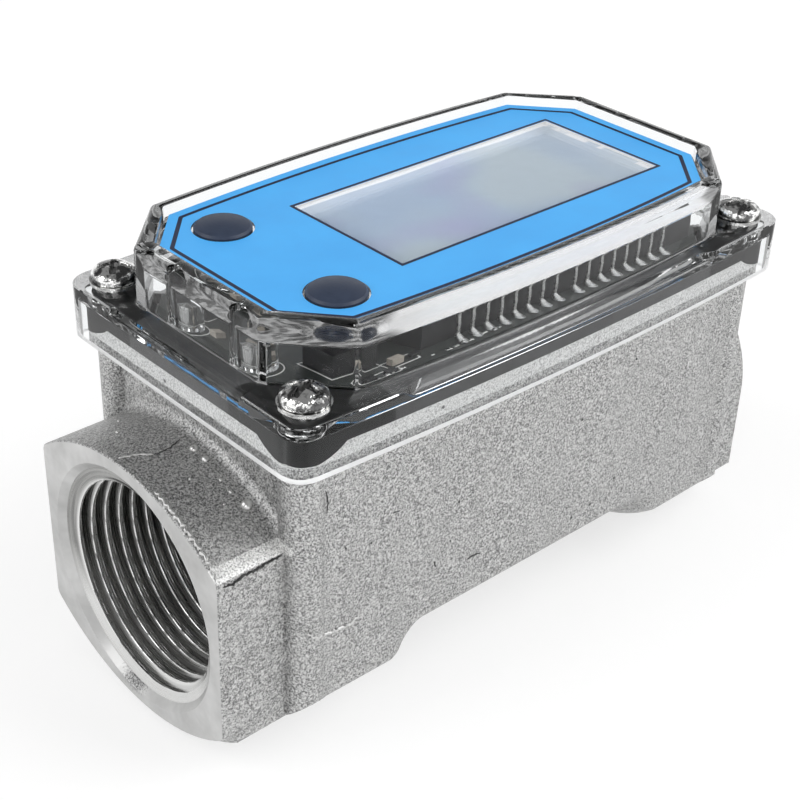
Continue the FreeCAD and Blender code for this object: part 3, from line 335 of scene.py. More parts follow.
def joined(base, other, operation):
    """Exact Boolean of two pieces; the second one is used up."""
    change = base.modifiers.new("joined", "BOOLEAN")
    change.operation = operation
    change.solver = "EXACT"
    change.object = other
    graph = bpy.context.evaluated_depsgraph_get()
    result = bpy.data.meshes.new_from_object(base.evaluated_get(graph))
    base.modifiers.clear()
    old = base.data
    base.data = result
    bpy.data.meshes.remove(old)
    spent = other.data
    bpy.data.objects.remove(other)
    bpy.data.meshes.remove(spent)


def block(x0, x1, y0, y1, z0, z1, edge=0.15):
    """Upright block as rings of a rounded rectangle, with softened top and bottom edges and closed ends."""
    cx, cy = (x0 + x1) / 2, (y0 + y1) / 2
    sizes = ((x1 - x0) / 2, (y1 - y0) / 2, 0.0, (y1 - y0) / 2, 0.0)
    a = np.arange(48) / 48 * TURN + 0.01
    rows = []
    for d, z, scale in ((edge, z0, 0.0), (edge, z0, 1.0), (0.0, z0 + edge, 1.0), (0.0, z1 - edge, 1.0),
                        (edge, z1, 1.0), (edge, z1, 0.0)):
        row = ring(inset(sizes, d), edge, a, z)
        row[:, 0] = cx + (row[:, 0] - CENTRE) * scale
        row[:, 1] = cy + row[:, 1] * scale
        rows.append(row)
    return np.array(rows)


def second_finish(made, material, chosen):
    """A second finish on the faces that chosen picks by their middles, in millimetres, and their directions."""
    made.data.materials.append(material)
    values = []
    for key in ("center", "normal"):
        flat = np.empty(3 * len(made.data.polygons))
        made.data.polygons.foreach_get(key, flat)
        values.append(flat.reshape(-1, 3))
    picked = chosen(values[0] / MM, values[1])
    made.data.polygons.foreach_set("material_index", picked.astype(np.int32))
    made.data.update()


def clear_cover(material, frosted):
    """Cover skin with its posts and ribs joined on, then the holes for the buttons and screws; the skirt's
    lower edge is frosted."""
    cover = mesh_object("cover_shell", [cover_rows(cover_angles())], crease=180)
    added = []
    ribs = []
    for x, y in POSTS:
        low, top = BOARD_TOP + 0.03, PLATE_UNDERSIDE + 0.4
        profile = [(0, low), (POST_R - 0.2, low), (POST_R, low + 0.2), (POST_R, top), (0, top)]
        added.append(turned_up(profile, x, y, 40))
        wall = CENTRE + math.copysign(DOME[0] - DOME_WALL + 0.4, x - CENTRE)
        x0, x1 = min(x, wall), max(x, wall)
        ribs.append(block(x0, x1, y - RIB_HALF, y + RIB_HALF, BOARD_TOP + 0.5, top - 0.05))
    joined(cover, mesh_object("cover_posts", added), "UNION")
    joined(cover, mesh_object("cover_ribs", ribs), "UNION")
    cut = []
    for x, y in BUTTONS:
        r = BUTTON_HOLE_R
        cut.append(turned_up([(0, 38), (r, 38), (r, 43), (0, 43)], x, y, 64))
    for x, y in SCREWS:
        r = SCREW_HOLE_R
        cut.append(turned_up([(0, 30), (r, 30), (r, 36), (0, 36)], x, y, 32))
    joined(cover, mesh_object("cover_holes", cut), "DIFFERENCE")
    smooth(cover.data, 42.0)
    dress(cover, material, stands_for=["clear_cover"])
    second_finish(cover, frosted,
                  lambda middle, facing: (middle[:, 2] < SKIRT_BOTTOM + 0.05) & (facing[:, 2] < -0.6))
    cover.visible_shadow = False
    return cover


def thread(name, start, into, material):
    """Pipe thread: the bore's radius less a helical ridge, a triangle wave of x over pitch less the turn, cut
    flat at crest and root, cut back steeply in the mouth's bevel and fading out at its end; the hidden back
    closes it."""
    s = np.concatenate([np.linspace(-THREAD_LEAD, 0.2, 14), np.linspace(0.2, THREAD_RUN, 226)[1:]])[:, None]
    a = (np.arange(184) / 184 * TURN)[None, :]
    phase = ((s + 0.14) / THREAD_PITCH - into * a / TURN + 0.5) % 1.0
    wave = np.clip((1 - np.abs(2 * phase - 1) - 0.12) / 0.72, 0, 1)
    fade = np.clip((THREAD_RUN - s) / 2.4, 0, 1) ** 0.7
    r = THREAD_R - THREAD_DEPTH * wave * fade
    r = np.maximum(r, THREAD_R + 0.63 - 3.4 * (s + THREAD_LEAD))
    back = np.maximum(THREAD_R + 0.2, THREAD_R + 0.1 - 0.99 * s) + 0 * a
    radius = np.concatenate([r, back[::-1]])
    along = np.concatenate([s, s[::-1]])
    x = start + into * along
    grid = np.stack([x + 0 * radius, radius * np.cos(a), radius * np.sin(a)], axis=-1)
    made = mesh_object(name, [grid], closed=True, crease=50.0)
    return dress(made, material)


def recess_depth(x, y, turn):
    """Depth of a four-winged driver recess: full near the middle, sloping up to the wings' tips."""
    c, s = math.cos(turn), math.sin(turn)
    u, v = np.abs(c * x + s * y), np.abs(c * y - s * x)
    near, far = np.minimum(u, v), np.maximum(u, v)
    side = np.clip((0.5 - 0.07 * far - near) / 0.2 + 0.5, 0, 1)
    tip = np.clip((DRIVER_REACH - far) / 0.3 + 0.5, 0, 1)
    return DRIVER_DEPTH * side * tip * (1 - 0.3 * far / DRIVER_REACH)


def cover_screws(material, shade):
    """Pan-head screws: a turned profile from shank to crown, less the driver recess, whose inside is painted
    darker as painted shade.
    """
    z0 = SCREW_SEAT
    shank = [(0, SCREW_TIP), (SHANK_R - 0.5, SCREW_TIP), (SHANK_R, SCREW_TIP + 0.6)]
    z = np.arange(21.0, 31.0, 0.125)
    ridge = SHANK_R - 0.14 + 0.14 * np.abs(((z / SHANK_PITCH) % 1.0) * 2 - 1)
    shank += list(zip(ridge, z)) + [(SHANK_R, 31.2), (SHANK_R, z0)]
    r = SCREW_HEAD_R
    head = [(r - 0.2, z0), (r - 0.05, z0 + 0.06), (r, z0 + 0.22), (r, z0 + 0.55)]
    bend = np.radians(np.linspace(0, 66, 9))
    head += list(zip(r - 1.35 * (1 - np.cos(bend)), z0 + 0.55 + 1.15 * np.sin(bend)))
    edge, base = head[-1]
    rise = SCREW_HEIGHT - (base - z0)
    crown = [(far, base + rise * (1 - (far / edge) ** 2)) for far in np.linspace(edge, 0, 34)[1:]]
    profile = shank + head + crown
    grids = []
    on_top = np.arange(len(profile)) >= len(shank) + 6
    for (x, y), turn in zip(SCREWS, SCREW_TURNS):
        grid = turned_up(profile, x, y, 120)
        drop = recess_depth(grid[..., 0] - x, grid[..., 1] - y, turn)
        grid[..., 2] -= drop * on_top[:, None]
        grids.append(grid)
    made = mesh_object("pan_head_screws", grids, crease=50.0)
    dress(made, material, stands_for=["cover_screws"])

    def in_recess(middle, facing):
        inside = np.zeros(len(middle), dtype=bool)
        for (x, y), turn in zip(SCREWS, SCREW_TURNS):
            u, v = middle[:, 0] - x, middle[:, 1] - y
            inside |= (recess_depth(u, v, turn) > 0.45) & (np.hypot(u, v) < 2.3) & (middle[:, 2] > z0)
        return inside

    # Painted shade: the faces deep in the driver recess take the darker second finish.
    second_finish(made, shade, in_recess)
    return made


def ribbon(row_at, width, z0, z1):
    """Flat line along a closed path: four rows make its rectangular section."""
    half = width / 2
    return np.array([row_at(half, z0), row_at(half, z1), row_at(-half, z1), row_at(-half, z0)])


def printed_lines(material):
    """Dark border lines: one inside the faceplate's edge and one round the window."""
    angle = cover_angles()
    z0, z1 = LABEL_TOP - 0.02, LABEL_TOP + 0.015
    border = ribbon(lambda d, z: ring(inset(LABEL_LINE, d + 0.35), 0.3, angle, z), 0.6, z0, z1)
    sizes = (WINDOW_HALF[0] + 0.28, WINDOW_HALF[1] + 0.28, 0.0, WINDOW_HALF[1] + 0.28, 0.0)
    around = np.arange(240) / 240 * TURN
    corners = np.arctan2(sizes[3], sizes[0]) + np.linspace(-0.02, 0.02, 9)
    around = np.unique(np.concatenate([around, corners, np.pi - corners, np.pi + corners, TURN - corners]))

    def window_row(d, z):
        row = ring(inset(sizes, d), 0.12, around, z)
        row[:, 0] += WINDOW_X - CENTRE
        return row

    window = ribbon(window_row, 0.5, z0, z1)
    made = mesh_object("faceplate_lines", [border, window], closed=True, crease=30.0)
    return dress(made, material)


def solder_feet(material):
    """Boot of solder at each display pin: circles that shrink with height while their middle slides from well
    outside the pin back to it, by the power 1.6 of the height left."""
    t = np.linspace(0, 1, 8)[:, None]
    a = (np.arange(14) / 14 * TURN)[None, :]
    reach_out = 1.15 * (1 - t) ** 1.6
    wide = 0.3 + 0.42 * (1 - t) ** 0.8
    long = wide + 0.45 * (1 - t)
    high = 0.02 + 1.0 * t - 0.35 * t * (1 - t)
    grids = []
    for x, side in PINS:
        grid = np.empty((len(t), a.shape[1], 3))
        grid[..., 0] = x + wide * np.cos(a)
        grid[..., 1] = side * (PIN_Y + reach_out) + long * np.sin(a)
        grid[..., 2] = BOARD_TOP + high
        ends = [np.broadcast_to(row.mean(axis=0), (1, a.shape[1], 3)) for row in (grid[0], grid[-1])]
        grids.append(np.concatenate([ends[0], grid, ends[1]]))
    made = mesh_object("solder_feet", grids, crease=60.0)
    return dress(made, material, stands_for=["lcd_solder"])


def pin_clips(material):
    """Small clip at the top of each display pin, gripping the edge of the glass."""
    grids = []
    for x, side in PINS:
        y0, y1 = sorted((side * (PIN_Y - 0.42), side * (PIN_Y + 0.35)))
        grids.append(block(x - 0.55, x + 0.55, y0, y1, 36.95, 37.75, 0.1))
    made = mesh_object("pin_clips", grids, crease=50.0)
    return dress(made, material)


def board_pads(material):
    """Small tinned pads and solder spots near the board's long edges, each a low block."""
    pick = np.random.default_rng(7)
    grids = []
    for side in (-1, 1):
        for x in np.arange(22.0, 47.0, 1.35):
            if pick.random() < 0.3:
                continue
            y = side * (18.3 + 0.75 * pick.random())
            hx, hy = 0.2 + 0.35 * pick.random(), 0.16 + 0.2 * pick.random()
            cx = x + 0.3 * pick.random()
            high = BOARD_TOP + 0.12 + 0.25 * pick.random()
            grids.append(block(cx - hx, cx + hx, y - hy, y + hy, BOARD_TOP + 0.01, high, 0.06))
    made = mesh_object("board_pads", grids, crease=50.0)
    return dress(made, material)


def board_marks(material):
    """Plain printed marks on the board: rings round the posts and boxes round the parts."""
    z0, z1 = BOARD_TOP + 0.002, BOARD_TOP + 0.03
    a = np.arange(40) / 40 * TURN
    grids = []
    for x, y in POSTS:
        def post_row(d, z, x=x, y=y):
            r = 3.1 - d
            return np.stack([x + r * np.cos(a), y + r * np.sin(a), z + 0 * a], axis=-1)
        grids.append(ribbon(post_row, 0.2, z0, z1))
    for cx, cy, hx, hy in ((30.46, -16.4, 2.6, 1.2), (30.46, 16.4, 2.6, 1.2), (24.39, -12, 3.5, 3.5),
                           (24.39, 12, 3.5, 3.5), (25.6, -18.2, 3.4, 0.8), (30.46, -6.8, 3.7, 2.0)):
        def box_row(d, z, cx=cx, cy=cy, hx=hx, hy=hy):
            row = ring((hx - d, hy - d, 0.0, hy - d, 0.0), 0.1, a, z)
            row[:, 0] += cx - CENTRE
            row[:, 1] += cy
            return row
        grids.append(ribbon(box_row, 0.18, z0, z1))
    made = mesh_object("board_marks", grids, closed=True, crease=30.0)
    return dress(made, material)


def on_crown(x, y, sink=0.0):
    """Place on the inlet boss's upper arc, sunk by so much."""
    return np.array([x, y * (CROWN_R - sink) / CROWN_R, CROWN_Z + math.sqrt(CROWN_R ** 2 - y ** 2) - sink])


def casting_beads(material):
    """Small beads left on the inlet boss by casting: flattened half balls on its upper arc."""
    grids = []
    for x, y, r in ((8.1, -2.5, 0.62), (8.1, -5.06, 0.55), (8.2, -13.7, 0.8),
                    (7.5, -9.1, 0.26), (7.5, -11.2, 0.28), (5.6, -12.4, 0.2),
                    (3.4, 8.6, 0.3), (6.2, 12.6, 0.24), (4.2, -7.0, 0.2)):
        tilt = math.asin(y / CROWN_R)
        up = np.array([0, math.sin(tilt), math.cos(tilt)])
        side = np.array([0, math.cos(tilt), -math.sin(tilt)])
        foot = on_crown(x, y, 0.15)
        b = np.radians(np.linspace(0, 90, 7))[:, None]
        a = np.arange(20)[None, :] / 20 * TURN
        out, high = r * np.cos(b), 0.8 * r * np.sin(b) + 0 * a
        round_it = np.cos(a)[..., None] * np.array([1.0, 0, 0]) + np.sin(a)[..., None] * side
        ball = foot + out[..., None] * round_it
        ball = ball + (high + 0.15)[..., None] * up
        under = np.broadcast_to(foot, (1, a.shape[1], 3))
        grids.append(np.concatenate([under, ball]))
    made = mesh_object("casting_beads", grids, crease=70.0)
    return dress(made, material)


def bead_line(points, radius, face):
    """Thin raised line: circles square to a path through the points, tapered at both ends, a little wavy."""
    points = np.asarray(points, float)
    walk = np.concatenate([[0], np.cumsum(np.linalg.norm(np.diff(points, axis=0), axis=1))])
    t = np.linspace(0, walk[-1], max(12, int(walk[-1] / 0.3)))
    path = np.stack([np.interp(t, walk, points[:, k]) for k in range(3)], axis=1)
    ahead = np.gradient(path, axis=0)
    ahead /= np.linalg.norm(ahead, axis=1, keepdims=True)
    face = np.asarray(face, float)
    side = np.cross(ahead, face)
    side /= np.linalg.norm(side, axis=1, keepdims=True)
    wobble = 0.5 * radius * (np.sin(5.3 * t) + np.sin(11.7 * t + 1.0))
    path = path + side * wobble[:, None]
    u = t / walk[-1]
    taper = 0.25 + 0.75 * np.sqrt(np.clip(np.minimum(u, 1 - u) * 6, 0, 1))
    size = radius * taper * (1 + 0.25 * np.sin(8.1 * t))
    size[0] = size[-1] = 1e-4
    a = (np.arange(10) / 10 * TURN)[None, :, None]
    return path[:, None, :] + size[:, None, None] * (np.cos(a) * face + np.sin(a) * side[:, None, :])


def on_side(x, z):
    """Place on the body's bowed near side."""
    bow = BODY_BOW * max(0.0, 1 - ((x - CENTRE) / BODY_HALF_LENGTH) ** 2)
    return np.array([x, -(BODY_SIDE + bow), z])


def casting_marks(light, dark):
    """Parting seam on the near side, nicks on the inlet boss, and thin cracks and folds of the cast skin."""
    side, up = (0, -1, 0), (0, 0, 1)
    worn = (-6.5, -9.0, -11.5, -14.0, -16.5, -18.4, -19.9)
    raised = [
        bead_line([[10.2, -23.35, 1.0], [11.8, -23.4, -0.7], on_side(13.2, -1.2), on_side(15.0, -1.25),
                   on_side(17.6, -1.5), on_side(19.4, -0.5)], 0.24, side),
        bead_line([on_crown(-1.0, y, -0.1) for y in worn], 0.3, up),
        bead_line([on_crown(-0.9, 1.9), on_crown(0.4, 1.5), on_crown(1.8, 0.9), on_crown(3.2, -0.5)], 0.2, up),
        bead_line([on_crown(0.9, 2.2), on_crown(3.4, 3.9)], 0.07, up),
    ]
    for k in range(6):
        y = 7.4 - 0.8 * k
        raised.append(bead_line([on_crown(-0.9, y), on_crown(0.5, y + 0.5), on_crown(1.7, y + 0.3)], 0.06, up))
    sunk = [
        bead_line([on_crown(3.2, -0.6, 0.03), on_crown(5.8, -0.4, 0.03), on_crown(8.1, 0.5, 0.03)], 0.1, up),
        bead_line([[-0.9, -20.5, 12.5], [0.6, -20.6, 12.3], [2.4, -20.5, 12.75], [4.3, -20.55, 12.7],
                   [6.4, -20.5, 12.95], [8.6, -20.5, 12.9]], 0.16, side),
        bead_line([on_side(24.5, 13.9), on_side(25.8, 13.7)], 0.08, side),
        bead_line([on_side(38.6, -0.4), on_side(40.0, -0.2), on_side(41.3, -0.5)], 0.1, side),
        bead_line([on_side(32.4, 2.2), on_side(32.5, 1.2)], 0.1, side),
        bead_line([[13.6, -23.05, 22.0], [13.9, -23.1, 20.0], [13.7, -23.05, 18.4]], 0.06, side),
    ]
    for x, z, r in ((36.3, 10.6, 0.14), (16.8, 11.6, 0.12), (21.0, 10.6, 0.1), (35.1, 4.5, 0.1),
                    (60.3, 14.2, 0.12), (71.4, 20.1, 0.13)):
        sunk.append(bead_line([on_side(x - r, z - 0.1), on_side(x + r, z + 0.1)], r, side))
    dress(mesh_object("casting_seam_and_nicks", raised, crease=70.0), light)
    return dress(mesh_object("casting_folds", sunk, crease=70.0), dark)


# Finishes

def add(tree, kind, inputs=(), **settings):
    """Shader node of one kind, with its settings, and its inputs linked or set."""
    made = tree.nodes.new("ShaderNode" + kind)
    for key, value in settings.items():
        setattr(made, key, value)
    for key, value in dict(inputs).items():
        if isinstance(value, bpy.types.NodeSocket):
            tree.links.new(value, made.inputs[key])
        else:
            made.inputs[key].default_value = value
    return made


def finish(name, color, rough, metal=0.0, **more):
    """New finish with its constants on the shader; returns material, tree, shader and object coordinates."""
    material = bpy.data.materials.new(name)
    material.use_nodes = True
    tree = material.node_tree
    shader = tree.nodes["Principled BSDF"]
    shader.inputs["Base Color"].default_value = (*color, 1)
    shader.inputs["Roughness"].default_value = rough
    shader.inputs["Metallic"].default_value = metal
    for key, value in more.items():
        shader.inputs[key.replace("_", " ")].default_value = value
    where = add(tree, "TexCoord").outputs["Object"]
    return material, tree, shader, where


def drive(tree, shader, values):
    """Shader inputs, by name, fed from nodes."""
    for key, value in values.items():
        tree.links.new(value, shader.inputs[key])


def relief(tree, shader, height, distance, strength=0.5):
    """Bumps of so many metres at full height."""
    bump = add(tree, "Bump", {"Height": height, "Distance": distance, "Strength": strength})
    drive(tree, shader, {"Normal": bump.outputs["Normal"]})


def calc(tree, operation, first, second=0.0):
    """Result of one step of arithmetic."""
    return add(tree, "Math", {0: first, 1: second}, operation=operation).outputs[0]


def plus(tree, first, second):
    return calc(tree, "ADD", first, second)


def times(tree, first, second):
    return calc(tree, "MULTIPLY", first, second)


def above(tree, value, limit):
    return calc(tree, "GREATER_THAN", value, limit)


def below(tree, value, limit):
    return calc(tree, "LESS_THAN", value, limit)


def axes(tree, vector):
    """The three numbers of a vector."""
    return add(tree, "SeparateXYZ", {0: vector}).outputs[:3]


def from_axis(tree, y, z):
    """Distance from the flow axis."""
    return calc(tree, "SQRT", plus(tree, times(tree, y, y), times(tree, z, z)))


def noise(tree, where, scale, detail=4.0, rough=0.6):
    """Even noise with so many spots to the metre."""
    made = add(tree, "TexNoise", {"Vector": where, "Scale": scale, "Detail": detail, "Roughness": rough})
    return made.outputs["Fac"]


def streaks(tree, where, scale, detail=2.0):
    """Noise with its own number of spots to the metre along each axis."""
    return noise(tree, add(tree, "Mapping", {"Vector": where, "Scale": scale}).outputs[0], 1.0, detail, 0.55)


def spread(tree, value, low, high, out_low=0.0, out_high=1.0):
    """Value moved from one range to another, held at both ends."""
    made = add(tree, "MapRange", {0: value, 1: low, 2: high, 3: out_low, 4: out_high})
    return made.outputs[0]


def between(tree, amount, first, second):
    """Number between two, by amount."""
    return add(tree, "Mix", {0: amount, 2: first, 3: second}, data_type="FLOAT").outputs[0]


def tint(tree, amount, first, second):
    """Colour between two, by amount."""
    made = add(tree, "Mix", data_type="RGBA", clamp_factor=True)
    tree.links.new(amount, made.inputs["Factor"])
    for socket, value in (("A", first), ("B", second)):
        target = [s for s in made.inputs if s.name == socket and s.type == "RGBA"][0]
        if isinstance(value, bpy.types.NodeSocket):
            tree.links.new(value, target)
        else:
            target.default_value = (*value, 1)
    return [s for s in made.outputs if s.type == "RGBA"][0]


def cast_metal():
    """Cast and blasted skin with strong salt-and-pepper grain; port faces and bore turned to a soft satin."""
    material, tree, shader, where = finish("cast_and_turned_metal", (0.42, 0.42, 0.42), 0.45, 0.85)
    x, y, z = axes(tree, where)
    radius = from_axis(tree, y, z)
    face = plus(tree, below(tree, x, (INLET_FACE + 0.04) * MM), above(tree, x, (OUTLET_FACE - 0.04) * MM))
    near_end = plus(tree, below(tree, x, MOUTH_RUN * MM), above(tree, x, (OUTLET_THREAD - MOUTH_RUN) * MM))
    mouth = times(tree, below(tree, radius, MOUTH_R * MM), near_end)
    bore = below(tree, radius, BORE_FINISH_R * MM)
    turned = calc(tree, "MINIMUM", plus(tree, face, plus(tree, mouth, bore)), 1.0)

    # Grain, clouds and pits of the cast skin.
    fine = noise(tree, where, 4600.0, 2.0, 0.7)
    coarse = noise(tree, where, 3000.0, 2.0)
    cloud = noise(tree, where, 90.0, 3.0)
    grain = plus(tree, times(tree, fine, 0.55), times(tree, coarse, 0.45))
    skin = tint(tree, spread(tree, grain, 0.41, 0.59), (0.11, 0.11, 0.11), (0.72, 0.72, 0.715))
    skin = tint(tree, times(tree, spread(tree, cloud, 0.35, 0.68), 0.22), skin, (0.50, 0.50, 0.495))
    pits = add(tree, "TexVoronoi", {"Vector": where, "Scale": 130.0, "Randomness": 1.0}).outputs["Distance"]
    pit = spread(tree, pits, 0.02, 0.05)

    # Painted light: the rim under the gasket painted bright, and a painted highlight on the edge over the near
    # wrench flat.
    rim = times(tree, above(tree, z, RIM_Z * MM), spread(tree, fine, 0.4, 0.6, 0.35, 0.9))
    skin = tint(tree, rim, skin, (0.86, 0.86, 0.85))
    # Painted highlight: a near-white band along the edge over the near wrench flat.
    x_end, y_end, z_low, z_high = (v * MM for v in PAINTED_HIGHLIGHT_EDGE)
    edge = times(tree, below(tree, y, y_end), times(tree, above(tree, z, z_low), below(tree, z, z_high)))
    edge = times(tree, times(tree, edge, below(tree, x, x_end)), spread(tree, fine, 0.38, 0.6, 0.2, 1.0))
    skin = tint(tree, edge, skin, (0.95, 0.95, 0.94))
    skin = tint(tree, pit, (0.05, 0.05, 0.05), skin)

    # Turned satin, with the dark blot on the inlet face.
    smudge = noise(tree, where, 160.0, 3.0)
    satin = tint(tree, spread(tree, smudge, 0.3, 0.7), (0.44, 0.44, 0.435), (0.62, 0.62, 0.615))
    stain_at = add(tree, "Mapping", {"Vector": where, "Location": STAIN_SHIFT}).outputs[0]
    off = add(tree, "VectorMath", {0: stain_at}, operation="LENGTH").outputs["Value"]
    off = plus(tree, off, times(tree, calc(tree, "SUBTRACT", coarse, 0.5), 0.004))
    blot = tint(tree, spread(tree, fine, 0.4, 0.6), (0.06, 0.06, 0.06), (0.3, 0.3, 0.3))
    satin = tint(tree, spread(tree, off, 0.0019, 0.0033), blot, satin)

    drive(tree, shader, {
        "Base Color": tint(tree, turned, skin, satin),
        "Metallic": spread(tree, z, 0.0258, 0.0263, 0.85, 0.25),
        "Roughness": between(tree, turned, spread(tree, coarse, 0.3, 0.7, 0.36, 0.56), 0.36),
    })
    bumps = plus(tree, grain, times(tree, pit, 0.4))
    relief(tree, shader, times(tree, bumps, calc(tree, "SUBTRACT", 1.0, turned)), 0.00016, 0.9)
    return material


def cut_thread():
    """Cut metal with lines along the turns: painted highlight on the crests, painted shade down the flanks,
    paler low down.
    """
    material, tree, shader, where = finish("cut_thread_metal", (0.5, 0.5, 0.49), 0.2, 1.0)
    _, y, z = axes(tree, where)
    lines = streaks(tree, where, (6000.0, 60.0, 60.0))
    deep = spread(tree, from_axis(tree, y, z), 0.0153, 0.0157)
    light = spread(tree, lines, 0.35, 0.65)
    # Painted shade: the flanks much darker than the crests.
    flank = tint(tree, light, (0.2, 0.2, 0.195), (0.38, 0.38, 0.37))
    # Painted highlight: the crests near white.
    crest = tint(tree, light, (0.66, 0.66, 0.65), (0.85, 0.85, 0.84))
    # Painted light: the flanks on the lower half of the bore paler.
    low = times(tree, spread(tree, z, -0.010, -0.002, 1.0, 0.0), 0.75)
    flank = tint(tree, low, flank, (0.8, 0.8, 0.79))
    drive(tree, shader, {"Base Color": tint(tree, deep, crest, flank),
                         "Roughness": spread(tree, lines, 0.3, 0.7, 0.18, 0.36)})
    relief(tree, shader, lines, 0.00002)
    return material


def clear_plastic():
    """Clear moulded plastic with a barely wavy skin."""
    material, tree, shader, where = finish("clear_moulded_plastic", (0.97, 0.98, 0.985), 0.015, 0.0,
                                           Transmission_Weight=1.0, IOR=1.49,
                                           Specular_Tint=(0.3, 0.3, 0.3, 1.0))
    relief(tree, shader, noise(tree, where, 160.0, 2.0, 0.55), 0.00004)
    return material


def plain(name, color, rough, metal, second, scale=400.0, depth=0.00003, spot=0.06):
    """Finish with fine mottling: colour and roughness drift with noise, and a light relief."""
    material, tree, shader, where = finish(name, color, rough, metal)
    soft = noise(tree, where, scale)
    drive(tree, shader, {"Base Color": tint(tree, spread(tree, soft, 0.35, 0.65), color, second),
                         "Roughness": spread(tree, soft, 0.3, 0.7, max(rough - spot, 0.02), rough + spot)})
    relief(tree, shader, soft, depth)
    return material


def screw_metal():
    """Bright plated steel with a slightly rippled skin; the light and dark patches in its colour are painted
    reflections.
    """
    material, tree, shader, where = finish("screw_metal", (0.8, 0.8, 0.79), 0.12, 1.0)
    ripple_and_painted_reflection = noise(tree, where, 520.0, 3.0)
    # Painted reflections: near-black and near-white patches in the colour, following the ripple.
    patches = tint(tree, spread(tree, ripple_and_painted_reflection, 0.45, 0.54), (0.14, 0.14, 0.14), (0.97, 0.97, 0.96))
    drive(tree, shader, {"Base Color": patches, "Roughness": spread(tree, ripple_and_painted_reflection, 0.3, 0.7, 0.08, 0.2)})
    relief(tree, shader, ripple_and_painted_reflection, 0.0004, 0.9)
    return material


def faceplate_film():
    """Blue film printed on the faceplate's top; its edges stay white. Its back is white over the display, with
    a painted
    glow there: emission that stands in for the light that the clear plate carries to it. At the two ends the
    back is grey, with pale bars of painted glow."""
    material, tree, shader, where = finish("sky_blue_film", (0.07, 0.40, 0.94), 0.42,
                                           Emission_Color=(1, 1, 1, 1))
    soft = noise(tree, where, 120.0, 3.0)
    blue = tint(tree, spread(tree, soft, 0.35, 0.65), (0.064, 0.425, 0.93), (0.075, 0.465, 0.98))
    x, _, z = axes(tree, where)
    over_display = times(tree, spread(tree, x, 0.0262, 0.0292), spread(tree, x, 0.0895, 0.0915, 1.0, 0.0))
    back = tint(tree, over_display, (0.25, 0.25, 0.25), (0.86, 0.86, 0.86))
    bars = streaks(tree, where, (300.0, 900.0, 300.0))
    # Painted glow: emission on the back over the display and in pale bars at the ends.
    painted_glow = calc(tree, "MAXIMUM", over_display, spread(tree, bars, 0.42, 0.6, 0.06, 0.6))
    under = times(tree, painted_glow, below(tree, z, (PLATE_TOP + 0.005) * MM))
    drive(tree, shader, {"Base Color": tint(tree, above(tree, z, (LABEL_TOP - 0.03) * MM), back, blue),
                         "Emission Strength": times(tree, under, 0.5),
                         "Roughness": spread(tree, soft, 0.3, 0.7, 0.36, 0.48)})
    return material


def display_face():
    """Pale blue-grey display glass with soft patches, and its cell's white edge along the far side and end."""
    material, tree, shader, where = finish("display_glass", (0.5, 0.57, 0.7), 0.2, 0.0, Coat_Weight=0.2)
    x, y, _ = axes(tree, where)
    patch = noise(tree, where, 45.0, 1.5, 0.4)
    first = tint(tree, spread(tree, patch, 0.40, 0.60), (0.41, 0.51, 0.66), (0.49, 0.57, 0.64))
    beside = add(tree, "Mapping", {"Vector": where, "Location": (0.3, 0.1, 0.0)}).outputs[0]
    lilac = noise(tree, beside, 60.0, 1.0, 0.55)
    soft = tint(tree, spread(tree, lilac, 0.54, 0.72, 0.0, 0.7), first, (0.42, 0.43, 0.64))
    shift = times(tree, calc(tree, "SUBTRACT", streaks(tree, where, (60.0, 500.0, 60.0)), 0.5), 0.0012)
    far = spread(tree, plus(tree, y, shift), 0.0122, 0.0126)
    cells = streaks(tree, where, (60.0, 420.0, 60.0), 1.0)
    end = times(tree, spread(tree, x, 0.0879, 0.0881), spread(tree, cells, 0.42, 0.5, 0.15, 1.0))
    edge = calc(tree, "MINIMUM", plus(tree, far, end), 1.0)
    drive(tree, shader, {"Base Color": tint(tree, edge, soft, (0.9, 0.9, 0.92)),
                         "Roughness": spread(tree, patch, 0.3, 0.7, 0.14, 0.26)})
    return material


def gasket_rubber():
    """Black rubber with a fine dark grey mottle, painted near black at the four corners as painted shade under
    the cover's screw pads.
    """
    material, tree, shader, where = finish("black_rubber", (0.012, 0.012, 0.013), 0.42)
    x, y, _ = axes(tree, where)
    soft = noise(tree, where, 500.0)
    along = calc(tree, "ABSOLUTE", calc(tree, "SUBTRACT", x, CENTRE * MM))
    across = calc(tree, "ABSOLUTE", y)
    wander = times(tree, calc(tree, "SUBTRACT", noise(tree, where, 120.0, 2.0, 0.55), 0.5), 0.003)
    # Painted shade: the four corners, under the cover's screw pads, near black.
    corner = times(tree, spread(tree, plus(tree, along, wander), 0.0302, 0.0306),
                   spread(tree, plus(tree, across, wander), 0.0108, 0.0112))
    mottled_rubber = tint(tree, spread(tree, soft, 0.35, 0.65), (0.045, 0.045, 0.046), (0.065, 0.065, 0.066))
    drive(tree, shader, {"Base Color": tint(tree, corner, mottled_rubber, (0.004, 0.004, 0.004)),
                         "Roughness": spread(tree, soft, 0.3, 0.7, 0.36, 0.5)})
    relief(tree, shader, soft, 0.00004)
    return material


def board_skin():
    """Dark solder mask over faint copper tracks."""
    material, tree, shader, where = finish("dark_board", (0.012, 0.014, 0.014), 0.35)
    cells = add(tree, "TexVoronoi", {"Vector": where, "Scale": 330.0, "Randomness": 0.35},
                distance="MANHATTAN", feature="F1").outputs["Distance"]
    track = spread(tree, cells, 0.42, 0.5)
    drive(tree, shader, {"Base Color": tint(tree, track, (0.010, 0.012, 0.012), (0.03, 0.034, 0.032))})
    relief(tree, shader, track, 0.00003)
    return material


